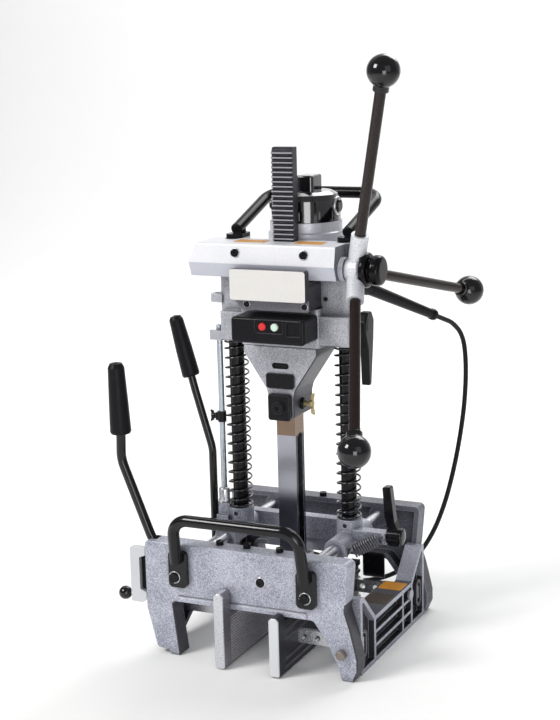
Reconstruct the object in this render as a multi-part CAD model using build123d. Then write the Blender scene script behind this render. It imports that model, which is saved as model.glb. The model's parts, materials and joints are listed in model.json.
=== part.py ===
from build123d import *
import math
import os

# Hollow chisel mortiser with a rack feed. Sizes are in millimetres.
# X runs to the right, Y to the back and Z up from the floor. The pieces are drawn with the chisel axis
# at X = 0, Y = 0 and moved by axis_y when they are written, which puts the origin under the middle.
axis_y = -17.5

# Fits
fit = 0.05  # radial clearance of a running shaft
gap = 0.3  # free gap between pieces that move past each other

# Base frames, rails and guide rods
seat_height = 82.0
frame_top = 170.0
frame_reach = 157.0
frame_depth = 28.0
frame_wall = 8.0
frame_left = -165.0
frame_right = 154.0
rail_outer = 160.0
rail_inner = 134.0
left_rail_inner = 138.0
left_rail_wall = 8.0
rail_height = 69.0
rail_end_height = 112.0
rail_skin = 10.0
flange_inner = 118.0
flange_thickness = 7.0
bead_height = 8.0
bead_proud = 3.0
rod_diameter = 20.0
rod_height = 150.0
rod_boss = 34.0

# Columns and carriage
column_x = 88.4
column_y = 8.0
column_diameter = 23.0
column_sunk = 15.0
socket_rise = 33.0
socket_diameter = 38.0
sleeve_diameter = 33.0
sleeve_front = -50.0
sleeve_back = 60.0
bridge_front = 42.0
bridge_under = 18.0
bridge_over = 16.0

# Feed shaft and crosshead
shaft_y = -22.0
shaft_height = 556.0
shaft_diameter = 18.0
shaft_bush = 24.0
crosshead_under = 15.0
crosshead_over = 34.0
crosshead_left = -132.0
crosshead_right = 96.0
crosshead_back = 15.0
column_boss = 34.0

# Head, measured from its lower face
head_drop = 115.0
head_stroke = 166.0
head_sleeve = 40.0
sleeve_gap = 0.6
bush_wall = 2.5
body_half = 62.0
body_front = -30.0
body_height = 56.0
motor_y = 73.0
motor_diameter = 112.0
motor_height = 115.0
cover_diameter = 102.0
cover_height = 43.0
gearbox_half = 59.0
gearbox_front = -68.0
gearbox_back = 15.0
gearbox_height = 39.0
wall_thickness = 12.0
switch_left = -54.0
switch_right = 60.0
switch_front = -78.0
switch_rise = 12.0
switch_height = 37.0
button_diameter = 11.0
button_travel = 2.5
button_rise = 37.0
off_x = -4.0
on_x = 15.0
nose_half_top = 58.0
nose_half_low = 20.5
nose_back = 36.0
nose_length = 106.0
nose_neck = 42.0
lock_pivot_rise = 31.0

# Chisel and bit
chisel_size = 30.0
chisel_length = 274.0
chisel_grip = 27.0
chisel_bore = 25.5
chuck_radius = 14.0
chuck_room = 3.0
bit_width = 22.0
bit_thickness = 8.0
bit_twists = 4.0
shank_radius = 6.0
spindle_radius = 8.0

# Rack feed
tooth_pitch = 6.8
pinion_teeth = 13
pressure_angle = math.radians(25.0)
backlash = 0.7
rack_addendum = 1.6
pinion_addendum = 2.1
rack_half = 16.5
rack_back = 8.0
rack_length = 224.0
handle_x = 116.0
handle_reach = 296.0
handle_lean = math.radians(14.8)
handle_turn = -16.0
arm_diameter = 15.5
hub_diameter = 40.0
socket_outer = 25.0
ball_diameter = 45.0

# Column springs and lock spring
spring_wire = 3.0
spring_radius = 17.0
spring_turns = 17
lock_wire = 2.5
lock_radius = 8.6
lock_turns = 10
lock_hook = 9.0
lock_start = Vector(107.2, -44.0, 145.0)
lock_end = Vector(148.5, -15.5, 166.0)
lock_x = 162.0
lock_height = 165.0

# Jaws and clamp
jaw_thickness = 15.0
jaw_low = 2.0
jaw_high = 78.0
jaw_overhang = 27.0
left_jaw_x = -42.0
right_jaw_x = 43.0
jaw_margin = 10.0
serration = 4.0
bar_inset = 17.0
bar_height = 40.0
bar_thickness = 8.0
bar_tall = 20.0
hole_pitch = 21.0
jaw_rod_inset = 39.0
jaw_rod_height = 58.0
jaw_rod_diameter = 12.0
push_height = 60.0
push_thickness = 7.5
pin_diameter = 13.0
pin_x = 143.0
pin_proud = 10.0
clamp_x = -142.0
clamp_height = 130.0
clamp_bar = 14.0
clamp_shaft = 12.0
clamp_arm_thickness = 7.0
latch_rise = 84.0
latch_wall = 3.7
latch_plunger = 2.5

# Shift lever, depth stop, handles and cord
shift_x = -130.0
shift_height = 60.0
shift_pin_rise = 5.0
shift_bar = 12.0
shift_stud = 14.0
stop_x = -112.0
stop_rod = 9.0
collar_length = 16.0
collar_diameter = 13.0
front_tube = 17.0
top_tube = 17.5
guard_drop = 89.0
cord_diameter = 7.5
coil_x = -109.5
coil_y = 248.0
coil_diameter = 82.0
coil_pitch = 8.3
coil_turns = 3

frame_inner = frame_reach - frame_depth
jaw_front = -frame_reach - jaw_overhang
bar_y = frame_inner - bar_inset
jaw_rod_y = frame_inner - jaw_rod_inset
clamp_y = -frame_inner - 10
clamp_arm_y = -frame_inner + 12
push_y = clamp_arm_y + clamp_arm_thickness / 2 + 2 + push_thickness / 2
latch_y = -frame_reach + latch_wall + 0.6
socket_top = rod_height + socket_rise
column_foot = socket_top - column_sunk
bridge_low = rod_height - bridge_under
bridge_high = rod_height + bridge_over
crosshead_low = shaft_height - crosshead_under
crosshead_high = shaft_height + crosshead_over
head_low = shaft_height - head_drop
head_sleeve_top = crosshead_low - sleeve_gap
body_top = head_low + body_height
gearbox_top = body_top + gearbox_height
motor_top = body_top + motor_height
cover_top = motor_top + cover_height
switch_low = head_low + switch_rise
switch_high = switch_low + switch_height
button_height = head_low + button_rise
nose_low = head_low - nose_length
nose_shoulder = nose_low + nose_neck
clamp_middle = nose_low + 17
cover_middle = nose_low + 55
chisel_top = nose_low + chisel_grip
chisel_tip = chisel_top - chisel_length
rack_low = body_top + 3
rack_top = rack_low + rack_length
pitch_radius = tooth_pitch * pinion_teeth / (2 * math.pi)
rack_line = shaft_y + pitch_radius
spring_length = head_low - socket_top
stop_low = head_low + body_height
stop_collar_low = stop_low - head_stroke - 1 - collar_length
shift_pin_height = rod_height + shift_pin_rise
lock_pivot = head_low + lock_pivot_rise
guard_start = Vector(93.0, 54.0, crosshead_low - 20)
guard_end = Vector(150.0, 215.0, crosshead_low - guard_drop)
sides = (-1, 1)


def block(x_span, y_span, z_span):
    """Box between three pairs of limits."""
    limits = (x_span, y_span, z_span)
    middle = [(low + high) / 2 for low, high in limits]
    sizes = [high - low for low, high in limits]
    return Pos(*middle) * Box(*sizes)


def outline_face(axis, points, level, radius=0.0):
    """Flat face across an axis at one level; points give the other two coordinates in X, Y, Z order."""
    order = "XYZ".index(axis)
    corners = []
    for u, v in points:
        corner = [u, v]
        corner.insert(order, level)
        corners.append(tuple(corner))
    return make_face(FilletPolyline(*corners, radius=radius, close=True))


def prism(axis, points, low, high, radius=0.0):
    """Outline carried along an axis from low to high."""
    way = [0, 0, 0]
    way["XYZ".index(axis)] = 1
    return extrude(outline_face(axis, points, low, radius), amount=high - low, dir=tuple(way))


def rod(start, end, radius):
    """Round bar between two points."""
    line = Vector(*end) - Vector(*start)
    return extrude(Plane(origin=start, z_dir=line) * Circle(radius), amount=line.length)


def turned(start, way, outline):
    """Solid of revolution; outline gives (distance along the line, radius) pairs that end on the line."""
    line = Vector(*way).normalized()
    across = Vector(0, 0, 1) if abs(line.Z) < 0.9 else Vector(1, 0, 0)
    plane = Plane(origin=start, x_dir=line, z_dir=line.cross(across))
    face = plane * make_face(Polyline(*outline, close=True))
    return revolve(face, axis=Axis(start, tuple(line)))


def tube(points, bends, radius):
    """Round tube along straight runs joined by tangent bends."""
    path = FilletPolyline(*points, radius=bends)
    return sweep(Plane(origin=path @ 0, z_dir=path % 0) * Circle(radius), path=path)


def joined(pieces):
    """One node made of several solids."""
    whole = pieces[0]
    for piece in pieces[1:]:
        whole = whole + piece
    return whole


def hex_head(centre, way, across, height):
    """Six-sided bolt head standing on a face."""
    plane = Plane(origin=centre, z_dir=way)
    return extrude(plane * RegularPolygon(across / 2, 6, major_radius=False), amount=height)


def socket_head(centre, way, diameter, height):
    """Round screw head with a six-sided recess."""
    plane = Plane(origin=centre, z_dir=way)
    head = extrude(plane * Circle(diameter / 2), amount=height)
    recess = plane.offset(height * 0.4) * RegularPolygon(diameter * 0.26, 6)
    return head - extrude(recess, amount=height)


def frame_face(level):
    """Front view of a base frame: a beam over the timber and two legs of different spread."""
    points = [
        (frame_left, frame_top), (frame_right, frame_top), (frame_right - 5, 116), (frame_right - 7, 101),
        (frame_right + 1, 76), (frame_right + 11, 34), (frame_right + 11, 16), (frame_right + 4, 0),
        (141, 0), (134, 23), (117, 57), (99, seat_height), (-122, seat_height), (-112, 0),
        (-128, 0), (-131, 6), (-150, 9), (frame_left, 68),
    ]
    corners = [8, 8, 12, 12, 25, 12, 8, 4, 3, 25, 25, 8, 5, 3, 2, 2, 5, 10]
    return outline_face("Y", points, level, corners)


def frame_shell():
    """Front frame casting, open at its back, with blind bosses for the guide rods."""
    front = -frame_reach
    shell = extrude(frame_face(front), amount=frame_depth, dir=(0, 1, 0))
    shell = fillet(shell.edges().group_by(Axis.Y)[0], 2.5)
    pocket = offset(frame_face(front + frame_wall), amount=-frame_wall)
    shell = shell - extrude(pocket, amount=frame_depth, dir=(0, 1, 0))
    for side in sides:
        root = (side * column_x, front + frame_wall, rod_height)
        edge = (side * column_x, -frame_inner, rod_height)
        shell = shell + rod(root, edge, rod_boss / 2)
        shell = shell - rod(root, edge, rod_diameter / 2)
    bead_z = (seat_height + 1.5, seat_height + 1.5 + bead_height)
    bead = block((-112, 90), (front - bead_proud, front), bead_z)
    return shell + chamfer(bead.edges().group_by(Axis.Y)[0], 1.2)


def front_frame():
    frame = frame_shell()
    slot_y = (clamp_y - clamp_bar / 2 - 1.5, clamp_y + clamp_bar / 2 + 1.5)
    frame = frame - block((frame_left - 5, clamp_x - clamp_bar / 2 - 0.5), slot_y,
                          (clamp_height - 4, frame_top + 5))
    bearing = (clamp_x, -frame_reach + 3, clamp_height)
    wall = (clamp_x, -frame_reach + frame_wall + 1, clamp_height)
    frame = frame - rod(bearing, wall, clamp_shaft / 2 + fit)
    pin = (pin_x, -frame_reach - 1, bar_height)
    return frame - rod(pin, (pin_x, -frame_inner, bar_height), pin_diameter / 2)


def rear_frame():
    return mirror(frame_shell(), about=Plane.XZ)


def rail_end(skin):
    """Half outline of a rail from its middle to its raised end, drawn in by skin."""
    low = skin
    top = rail_end_height - skin
    return [(0, low), (frame_inner - skin, low), (frame_inner - skin, top),
            (frame_inner - 11 - skin * 0.4, top), (frame_inner - 55 - skin * 0.4, rail_height - skin),
            (0, rail_height - skin)]


def both_ends(half):
    """Whole outline from its half, mirrored front to back."""
    return half[1:-1] + [(-y, z) for y, z in reversed(half[1:-1])]


def right_rail():
    """Side casting with ribbed panels outside, a flange inside and slots for the bars of the right jaw."""
    rail = prism("X", both_ends(rail_end(0)), rail_inner, rail_outer)
    face = rail_outer - rail_skin
    end_low = frame_inner - 51
    end_high = frame_inner - 6
    for side in sides:
        end = [(end_low, 6), (end_high, 6), (end_high, rail_end_height - 8),
               (end_high - 5, rail_end_height - 8),
               (end_low, rail_height - 4)]
        rail = rail - prism("X", [(side * y, z) for y, z in end], face, rail_outer, 3)
    panel_end = end_low - 5
    panel_height = (rail_height - 20) / 3
    for number in range(3):
        low = 6 + number * (panel_height + 4)
        high = low + panel_height
        for start, stop in [(-panel_end, 36), (40, panel_end)]:
            rail = rail - prism("X", [(start, low), (stop, low), (stop, high), (start, high)], face,
                                rail_outer, 3)
    flange = (rail_height - flange_thickness, rail_height)
    rail = rail + block((flange_inner, rail_inner), (-panel_end + 5, panel_end - 5), flange)
    for side in sides:
        seat = Plane(origin=(face - 0.5, side * bar_y, bar_height), x_dir=(0, 1, 0), z_dir=(1, 0, 0))
        ring = extrude(seat * SlotOverall(42, 20, rotation=90), amount=rail_skin - 1.5)
        rail = rail + ring
        rail = rail - extrude(seat * SlotOverall(34, 12, rotation=90), amount=rail_skin + 2)
        width = bar_thickness / 2 + gap
        tall = bar_tall / 2 + gap
        rail = rail - block((rail_inner, rail_outer), (side * bar_y - width, side * bar_y + width),
                            (bar_height - tall, bar_height + tall))
    knob = (panel_end - 7, rail_height - 16)
    rail = rail + rod((face, *knob), (rail_outer + 3, *knob), 8)
    return rail - rod((pin_x, -frame_inner, bar_height), (pin_x, -bar_y, bar_height), pin_diameter / 2)


def left_rail():
    """Side channel, open towards the timber, with guides for the left jaw and the lever bearings."""
    end = frame_inner
    foot = end - 28
    inner = end - 7
    lug = rail_end_height + 34
    outline = [(-end, 2), (-foot, 2), (-foot + 2, 12), (-foot + 36, 34), (foot - 36, 34), (foot - 2, 12),
               (foot, 2),
               (end, 2), (end, rail_end_height - 2), (end - 13, rail_end_height - 2),
               (end - 55, rail_height),
               (55 - end, rail_height), (21 - end, 104), (-inner, 104), (-inner, lug), (-end, lug)]
    corners = [0, 2, 6, 14, 14, 6, 2, 0, 4, 6, 20, 20, 6, 2, 3, 3]
    rail = prism("X", outline, -rail_outer, -left_rail_inner, corners)
    hollow = [(-inner, 9), (-foot - 6, 9), (-foot + 32, 41), (foot - 32, 41), (foot + 6, 9), (inner, 9),
              (inner, rail_end_height - 9), (end - 11, rail_end_height - 9), (end - 56, rail_height - 7),
              (56 - end, rail_height - 7), (22 - end, 97), (-inner, 97)]
    skin = -rail_outer + left_rail_wall
    rail = rail - prism("X", hollow, skin, -left_rail_inner)
    rail = rail - block((skin, -left_rail_inner), (-inner, clamp_arm_y + 5.5), (90, 110))
    wall = -rail_outer + left_rail_wall / 2
    for y in (-jaw_rod_y, jaw_rod_y):
        guide = ((-rail_outer, y, jaw_rod_height), (-left_rail_inner, y, jaw_rod_height))
        rail = rail + rod((wall, y, jaw_rod_height), guide[1], jaw_rod_diameter / 2 + 5)
        rail = rail - rod(*guide, jaw_rod_diameter / 2 + fit)
    rail = rail + rod((wall, 0, shift_height), (-left_rail_inner, 0, shift_height), 12)
    stud_end = (shift_x + shift_bar / 2, 0, shift_height)
    rail = rail + rod((wall, 0, shift_height), stud_end, shift_stud / 2)
    bearing = ((clamp_x, -end, clamp_height), (clamp_x, -inner, clamp_height))
    return rail - rod(*bearing, clamp_shaft / 2 + fit)


def guide_rods():
    end = frame_reach - frame_wall
    return joined([rod((side * column_x, -end, rod_height), (side * column_x, end, rod_height),
                       rod_diameter / 2)
                   for side in sides])


def index_pin():
    """Round pin through the front right leg that stops just short of the jaw bar."""
    front = -frame_reach - pin_proud
    length = -bar_y - bar_thickness / 2 - gap - front
    radius = pin_diameter / 2
    outline = [(0, 0), (0, radius - 1.2), (1.2, radius), (length, radius), (length, 0)]
    return turned((pin_x, front, bar_height), (0, 1, 0), outline)


def front_handle():
    """Carrying tube in front of the base, with long flat tabs bolted to the beam."""
    radius = front_tube / 2
    foot = -frame_reach - radius - 1.5
    front = -frame_reach - 22
    tabs = [(-108, 134), (92, 128)]
    points = [(tabs[0][0], foot, tabs[0][1] + 12), (tabs[0][0] + 3, front, 214),
              (tabs[1][0] - 3, front, 214),
              (tabs[1][0], foot, tabs[1][1] + 12)]
    handle = tube(points, 26, radius)
    for x, z in tabs:
        plate = Plane(origin=(x, -frame_reach, z), x_dir=(1, 0, 0), z_dir=(0, -1, 0))
        handle = handle + extrude(plate * RectangleRounded(29, 54, 7), amount=7)
    return handle


def base_bolts():
    """Bolts of the front handle and the set bolts on both beams."""
    front = -frame_reach
    pieces = [socket_head((20, front, 128), (0, -1, 0), 12, 2.5)]
    for x, z in [(-113, 122), (91, 116)]:
        pieces.append(hex_head((x, front - 7, z), (0, -1, 0), 13, 5))
    for side in sides:
        for x in (-52, -9, 42):
            pieces.append(socket_head((x, side * (frame_inner + 8), frame_top), (0, 0, 1), 11, 6))
    return joined(pieces)


def carriage_casting():
    """Two sleeves on the guide rods, the column sockets and a bridge behind the chisel."""
    casting = block((-column_x, column_x), (bridge_front, sleeve_back), (bridge_low, bridge_high))
    ribs = [(sleeve_back - 8, bridge_low), (sleeve_back, bridge_low), (sleeve_back, bridge_low - 22),
            (sleeve_back - 8, bridge_low - 22)]
    casting = casting + prism("X", ribs, -column_x + 20, column_x - 20)
    for side in sides:
        x = side * column_x
        casting = casting + rod((x, sleeve_front, rod_height), (x, sleeve_back, rod_height),
                                sleeve_diameter / 2)
        casting = casting + rod((x, column_y, rod_height), (x, column_y, socket_top), socket_diameter / 2)
        web = [(column_y, socket_top - 7), (bridge_front + 4, bridge_high), (bridge_front + 4, rod_height),
               (column_y, rod_height)]
        casting = casting + prism("X", web, x - 5, x + 5)
    casting = casting + block((-119, -100), (-15, 15), (rod_height - 12, rod_height + 22))
    foot = [(stop_x - 9, -9), (stop_x + 9, -9), (-column_x, column_y - 12), (-column_x, column_y + 12),
            (stop_x - 9, 9)]
    casting = casting + prism("Z", foot, socket_top - 12, socket_top + 6, [6, 2, 2, 2, 6])
    casting = casting - rod((-column_x, column_y, socket_top), (-column_x, column_y, socket_top + 6),
                            socket_diameter / 2 + 0.5)
    bracket_end = lock_x - 10
    casting = casting + block((100, bracket_end), (-9, 9), (lock_height - 12, lock_height + 5))
    casting = casting + rod((bracket_end - 4, 0, lock_height), (lock_x + 10, 0, lock_height), 6)
    casting = casting + rod((98, lock_start.Y, lock_start.Z),
                            (lock_start.X - 1.1, lock_start.Y, lock_start.Z), 5)
    casting = casting + rod((lock_end.X, -8, lock_end.Z), (lock_end.X, lock_end.Y + 1.2, lock_end.Z), 3.5)
    for side in sides:
        x = side * column_x
        casting = casting - rod((x, sleeve_front, rod_height), (x, sleeve_back, rod_height),
                                rod_diameter / 2 + fit)
        casting = casting - rod((x, column_y, column_foot), (x, column_y, socket_top), column_diameter / 2)
        casting = casting - rod((x, column_y - 30, socket_top - 8), (x, column_y - 12, socket_top - 8), 3.5)
    casting = casting - rod((stop_x, 0, socket_top - 9), (stop_x, 0, socket_top + 6), stop_rod / 2)
    slot = [(-5.2, rod_height - 9), (5.2, rod_height - 9), (5.2, rod_height + 19), (-5.2, rod_height + 19)]
    return casting - prism("X", slot, -120, -104.5, 4)


def column(side):
    x = side * column_x
    radius = column_diameter / 2
    length = crosshead_high - 1 - column_foot
    outline = [(0, 0), (0, radius), (length - 1.5, radius), (length, radius - 1.5), (length, 0)]
    return turned((x, column_y, column_foot), (0, 0, 1), outline)


def biarc(start, start_way, end, end_way):
    """Two arcs that leave start along start_way, meet smoothly and reach end along end_way."""
    ways = start_way + end_way
    chord = end - start
    spread = 2 * (1 - start_way.dot(end_way))
    along = chord.dot(ways)
    reach = (math.sqrt(along * along + spread * chord.dot(chord)) - along) / spread
    middle = (start + end + (start_way - end_way) * reach) * 0.5
    first = TangentArc(start, middle, tangent=start_way)
    return [first, TangentArc(middle, end, tangent=first % 1)]


def wound(radius, wire, length, turns, first_angle=0.0, hook=0.0):
    """Open coil spring along Z from 0 to length as one round wire; hook adds a tail on the axis at each end."""
    rise = length - wire - 0.4
    steps = int(turns * 2)
    slope = rise / steps / math.pi
    points = []
    ways = []
    for i in range(steps + 1):
        angle = first_angle + math.pi * i
        points.append(Vector(radius * math.cos(angle), radius * math.sin(angle),
                             wire / 2 + 0.2 + rise * i / steps))
        ways.append(Vector(-radius * math.sin(angle), radius * math.cos(angle), slope).normalized())
    edges = []
    for i in range(steps):
        edges += biarc(points[i], ways[i], points[i + 1], ways[i + 1])
    if hook:
        up = Vector(0, 0, 1)
        low = Vector(0, 0, -hook * 0.75)
        high = Vector(0, 0, length + hook * 0.75)
        edges = [Line(low - up * hook * 0.25, low)] + biarc(low, up, points[0], ways[0]) + edges
        edges += biarc(points[-1], ways[-1], high, up) + [Line(high, high + up * hook * 0.25)]
    print("spring", round(length, 1), "gap between turns", round(rise / turns - wire, 2))
    path = Wire(edges)
    return sweep(Plane(origin=path @ 0, z_dir=path % 0) * Circle(wire / 2), path=path)


def column_spring(side):
    spring = wound(spring_radius, spring_wire, spring_length, spring_turns, math.pi / 2)
    return Pos(side * column_x, column_y, socket_top) * spring


def lock_spring():
    """Tension spring between the right sleeve and the bracket of the lock lever."""
    line = lock_end - lock_start
    coil_length = line.length - 2 * lock_hook
    coil = wound(lock_radius, lock_wire, coil_length, lock_turns, 0.0, lock_hook)
    return Plane(origin=lock_start + line.normalized() * lock_hook, z_dir=line).location * coil


def crosshead():
    """Top casting that ties the columns and carries the feed pinion."""
    section = [(-46, crosshead_high), (-52, crosshead_high - 28), (-44, crosshead_low),
               (crosshead_back, crosshead_low),
               (crosshead_back, crosshead_high)]
    head = prism("X", section, crosshead_left, crosshead_right, [3, 4, 2, 2, 2])
    wedge = [(crosshead_left + 12, crosshead_high + 1), (crosshead_left - 1, crosshead_high - 30),
             (crosshead_left - 1, crosshead_high + 1)]
    head = head - prism("Y", wedge, -60, crosshead_back + 1)
    for side in sides:
        x = side * column_x
        head = head + rod((x, column_y, crosshead_low), (x, column_y, crosshead_high), column_boss / 2)
        ear = [(x - 12, column_y), (x + 12, column_y), (x + 12, 46), (x - 12, 46)]
        head = head + prism("Z", ear, crosshead_low + 3, crosshead_high, [0, 0, 6, 6])
        head = head - rod((x, column_y, crosshead_low), (x, column_y, crosshead_high), column_diameter / 2)
    axis = (shaft_y, shaft_height)
    head = head + rod((crosshead_right, *axis), (103, *axis), 17)
    head = head - block((-rack_half - gap, rack_half + gap),
                        (rack_line - rack_addendum - gap, rack_back + gap),
                        (crosshead_low, crosshead_high))
    head = head - rod((-19, *axis), (19, *axis), pitch_radius + pinion_addendum + 1.2)
    head = head - rod((-38, *axis), (103, *axis), shaft_bush / 2)
    return head


def shaft_bushes():
    axis = (shaft_y, shaft_height)
    spans = [(-37, -20), (62, 103)]
    return joined([rod((low, *axis), (high, *axis), shaft_bush / 2)
                   - rod((low, *axis), (high, *axis), shaft_diameter / 2 + fit) for low, high in spans])


def crosshead_bolts():
    height = crosshead_high - 13
    pieces = [socket_head((x, -49, height), (0, -1, 0.2), 11, 3.2) for x in (-58, 49)]
    pieces += [hex_head((side * column_x, 36, crosshead_high + 6), (0, 0, 1), 13, 5) for side in sides]
    return joined(pieces)


def top_handle():
    """Carrying tube round the back of the motor, with flat feet on the crosshead ears."""
    radius = top_tube / 2
    start = crosshead_high + radius + 3
    back = crosshead_high + 55
    points = [(-column_x, 20, start), (-column_x - 2, 152, back), (column_x + 2, 152, back),
              (column_x, 20, start)]
    handle = tube(points, 34, radius)
    for side in sides:
        x = side * column_x
        foot = [(x - 13, 6), (x + 13, 6), (x + 13, 44), (x - 13, 44)]
        handle = handle + prism("Z", foot, crosshead_high, crosshead_high + 6, 7)
        handle = handle - rod((x, 36, crosshead_high + 6), (x, 36, crosshead_high + 12), 8.2)
    return handle


def depth_rod():
    length = head_low + 21 - (socket_top - 9)
    radius = stop_rod / 2
    return turned((stop_x, 0, socket_top - 9), (0, 0, 1),
                  [(0, 0), (0, radius), (length - 1, radius), (length, radius - 1), (length, 0)])


def stop_collar():
    low = (stop_x, 0, stop_collar_low)
    high = (stop_x, 0, stop_collar_low + collar_length)
    collar = rod(low, high, collar_diameter / 2)
    middle = stop_collar_low + collar_length / 2
    collar = collar + block((stop_x - 9, stop_x), (-4.5, 4.5), (middle - 6, middle + 6))
    collar = collar - rod(low, high, stop_rod / 2 + fit)
    return collar - rod((stop_x - 10, 0, middle), (stop_x - 3, 0, middle), 2.5 + fit)


def wing_screw(length, shank, reach):
    """Screw along +Z with two flat wings at its upper end; the shank starts at the origin."""
    body = rod((0, 0, 0), (0, 0, length), shank)
    hub = rod((0, 0, length - 5), (0, 0, length), shank + 1.8)
    wings = [(-reach, length + 3), (3 - reach, length - 3), (reach - 3, length - 3), (reach, length + 3),
             (4, length + 1), (-4, length + 1)]
    return body + hub + prism("Y", wings, -1.4, 1.4, [1, 1, 1, 1, 1, 1])


def stop_wing_bolt():
    tip = stop_x - stop_rod / 2 - gap
    plane = Plane(origin=(tip, 0, stop_collar_low + collar_length / 2), x_dir=(0, 0, 1), z_dir=(-1, 0, 0))
    return plane.location * wing_screw(12, 2.5, 10)


def head_casting():
    """Sliding head: column sleeves, the gear body in the middle and the guides of the depth stop."""
    body = prism("Z", [(-body_half, body_front), (body_half, body_front), (body_half, motor_y),
                       (-body_half, motor_y)],
                 head_low, body_top, [6, 6, 0, 0])
    body = body + rod((0, motor_y, head_low + 20), (0, motor_y, body_top), body_half)
    for side in sides:
        x = side * column_x
        body = body + rod((x, column_y, head_low), (x, column_y, head_sleeve_top), head_sleeve / 2)
        outer = x + side * (8 if side < 0 else 18)
        inner = side * (body_half - 10)
        pad = [(outer, -28), (inner, -28), (inner, column_y), (outer, column_y)]
        body = body + prism("Z", pad, head_low + 5, head_low + 46, [4, 4, 0, 0])
        web = sorted((side * (body_half - 3), x))
        body = body + block(web, (-12, 24), (head_low + 4, head_sleeve_top - 3))
    fork = [(-122, 7.2), (-122, 14), (-100, 16), (-100, -16), (-122, -14), (-122, -7.2), (-108.5, -7.2),
            (-108.5, 7.2)]
    body = body + prism("Z", fork, head_low, head_low + 14, [2, 3, 0, 0, 3, 2, 4, 4])
    body = body - rod((stop_x, 0, head_low), (stop_x, 0, stop_low), collar_diameter / 2 + 2 * gap)
    stop = [(stop_x - 9, -9), (-100, -12), (-100, 16), (stop_x - 9, 9)]
    body = body + prism("Z", stop, stop_low, stop_low + 12, [5, 0, 0, 5])
    body = body - rod((stop_x, 0, stop_low), (stop_x, 0, stop_low + 12), stop_rod / 2 + gap)
    for side in sides:
        x = side * column_x
        body = body - rod((x, column_y, head_low), (x, column_y, head_sleeve_top),
                          column_diameter / 2 + bush_wall)
    edge = column_x + head_sleeve / 2
    body = body + rod((edge - 2.4, column_y, lock_pivot), (edge + 3.6, column_y, lock_pivot), 11)
    body = body + rod((edge - 2.4, column_y, lock_pivot), (edge + 15.6, column_y, lock_pivot), 6)
    body = body - rod((column_x, column_y, lock_pivot - 12), (column_x, column_y, lock_pivot + 12),
                      column_diameter / 2 + bush_wall)
    return body - rod((0, 0, head_low), (0, 0, head_low + 37), spindle_radius + fit)


def slide_bushes():
    pieces = []
    for side in sides:
        x = side * column_x
        low = (x, column_y, head_low)
        high = (x, column_y, head_sleeve_top)
        sleeve = rod(low, high, column_diameter / 2 + bush_wall)
        pieces.append(sleeve - rod(low, high, column_diameter / 2 + fit))
    return joined(pieces)


def gearbox():
    """Grey gear cover in front of the motor, with the raised wall that carries the plain plate."""
    corner = gearbox_half - 14
    outline = [(-gearbox_half, body_top + 14), (-corner, body_top), (gearbox_half, body_top),
               (gearbox_half, gearbox_top), (-gearbox_half, gearbox_top)]
    cover = prism("Y", outline, gearbox_front + wall_thickness, gearbox_back, 4)
    wall_low = body_top + 15
    wall_top = gearbox_top + 21
    wall = [(-gearbox_half, wall_low), (gearbox_half, wall_low), (gearbox_half, wall_top),
            (-gearbox_half, wall_top)]
    cover = cover + prism("Y", wall, gearbox_front, gearbox_front + wall_thickness + 0.5, 4)
    cover = fillet(cover.edges().group_by(Axis.Y)[0], 2)
    return cover - block((-rack_half, rack_half), (rack_line - rack_addendum, rack_back),
                         (rack_low, gearbox_top))


def head_screws():
    """Screws of the gear cover and of the sleeve webs."""
    height = body_top + 8
    front = gearbox_front + wall_thickness
    pieces = [socket_head((x, front, height), (0, -1, 0), 8, 2.5) for x in (-38, 52)]
    pieces += [socket_head((side * 66, -12, body_top + 13), (0, -1, 0), 6, 2) for side in sides]
    return joined(pieces)


def motor_housing():
    """Round motor casing with a stepped rim under the cover."""
    radius = motor_diameter / 2
    height = motor_top - body_top
    outline = [(0, 0), (0, radius - 1), (12, radius), (height - 16, radius), (height - 14, radius - 2.5),
               (height, radius - 2.5), (height, 0)]
    return turned((0, motor_y, body_top), (0, 0, 1), outline)


def motor_cover():
    """Dark motor cover with a cap block on top and a ring of cooling slots."""
    radius = cover_diameter / 2
    outline = [(0, 0), (0, radius), (cover_height - 12, radius), (cover_height - 4, radius - 4),
               (cover_height, radius - 12), (cover_height, 0)]
    cover = turned((0, motor_y, motor_top), (0, 0, 1), outline)
    cap = [(-5, 48), (22, 48), (22, 86), (-5, 86)]
    cover = cover + fillet(prism("Z", cap, cover_top - 2, cover_top + 24, 5).edges().group_by(Axis.Z)[-1],
                           3)
    for turn in range(0, 360, 30):
        angle = math.radians(turn + 15)
        centre = (radius * math.cos(angle), motor_y + radius * math.sin(angle), motor_top + 10)
        plane = Plane(origin=centre, x_dir=(0, 0, 1), z_dir=(math.cos(angle), math.sin(angle), 0))
        cover = cover - extrude(plane * SlotOverall(14, 5), amount=3, both=True)
    cap_height = motor_top + 22
    for side in sides:
        cover = cover - rod((side * (radius - 2.5), motor_y, cap_height),
                            (side * (radius + 5), motor_y, cap_height), 10)
    return cover


def brush_caps():
    radius = cover_diameter / 2
    outline = [(0, 0), (0, 10), (5, 10), (7, 8), (7, 0)]
    return joined([turned((side * (radius - 2.5), motor_y, motor_top + 22), (side, 0, 0),
                          outline) for side in sides])


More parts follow.
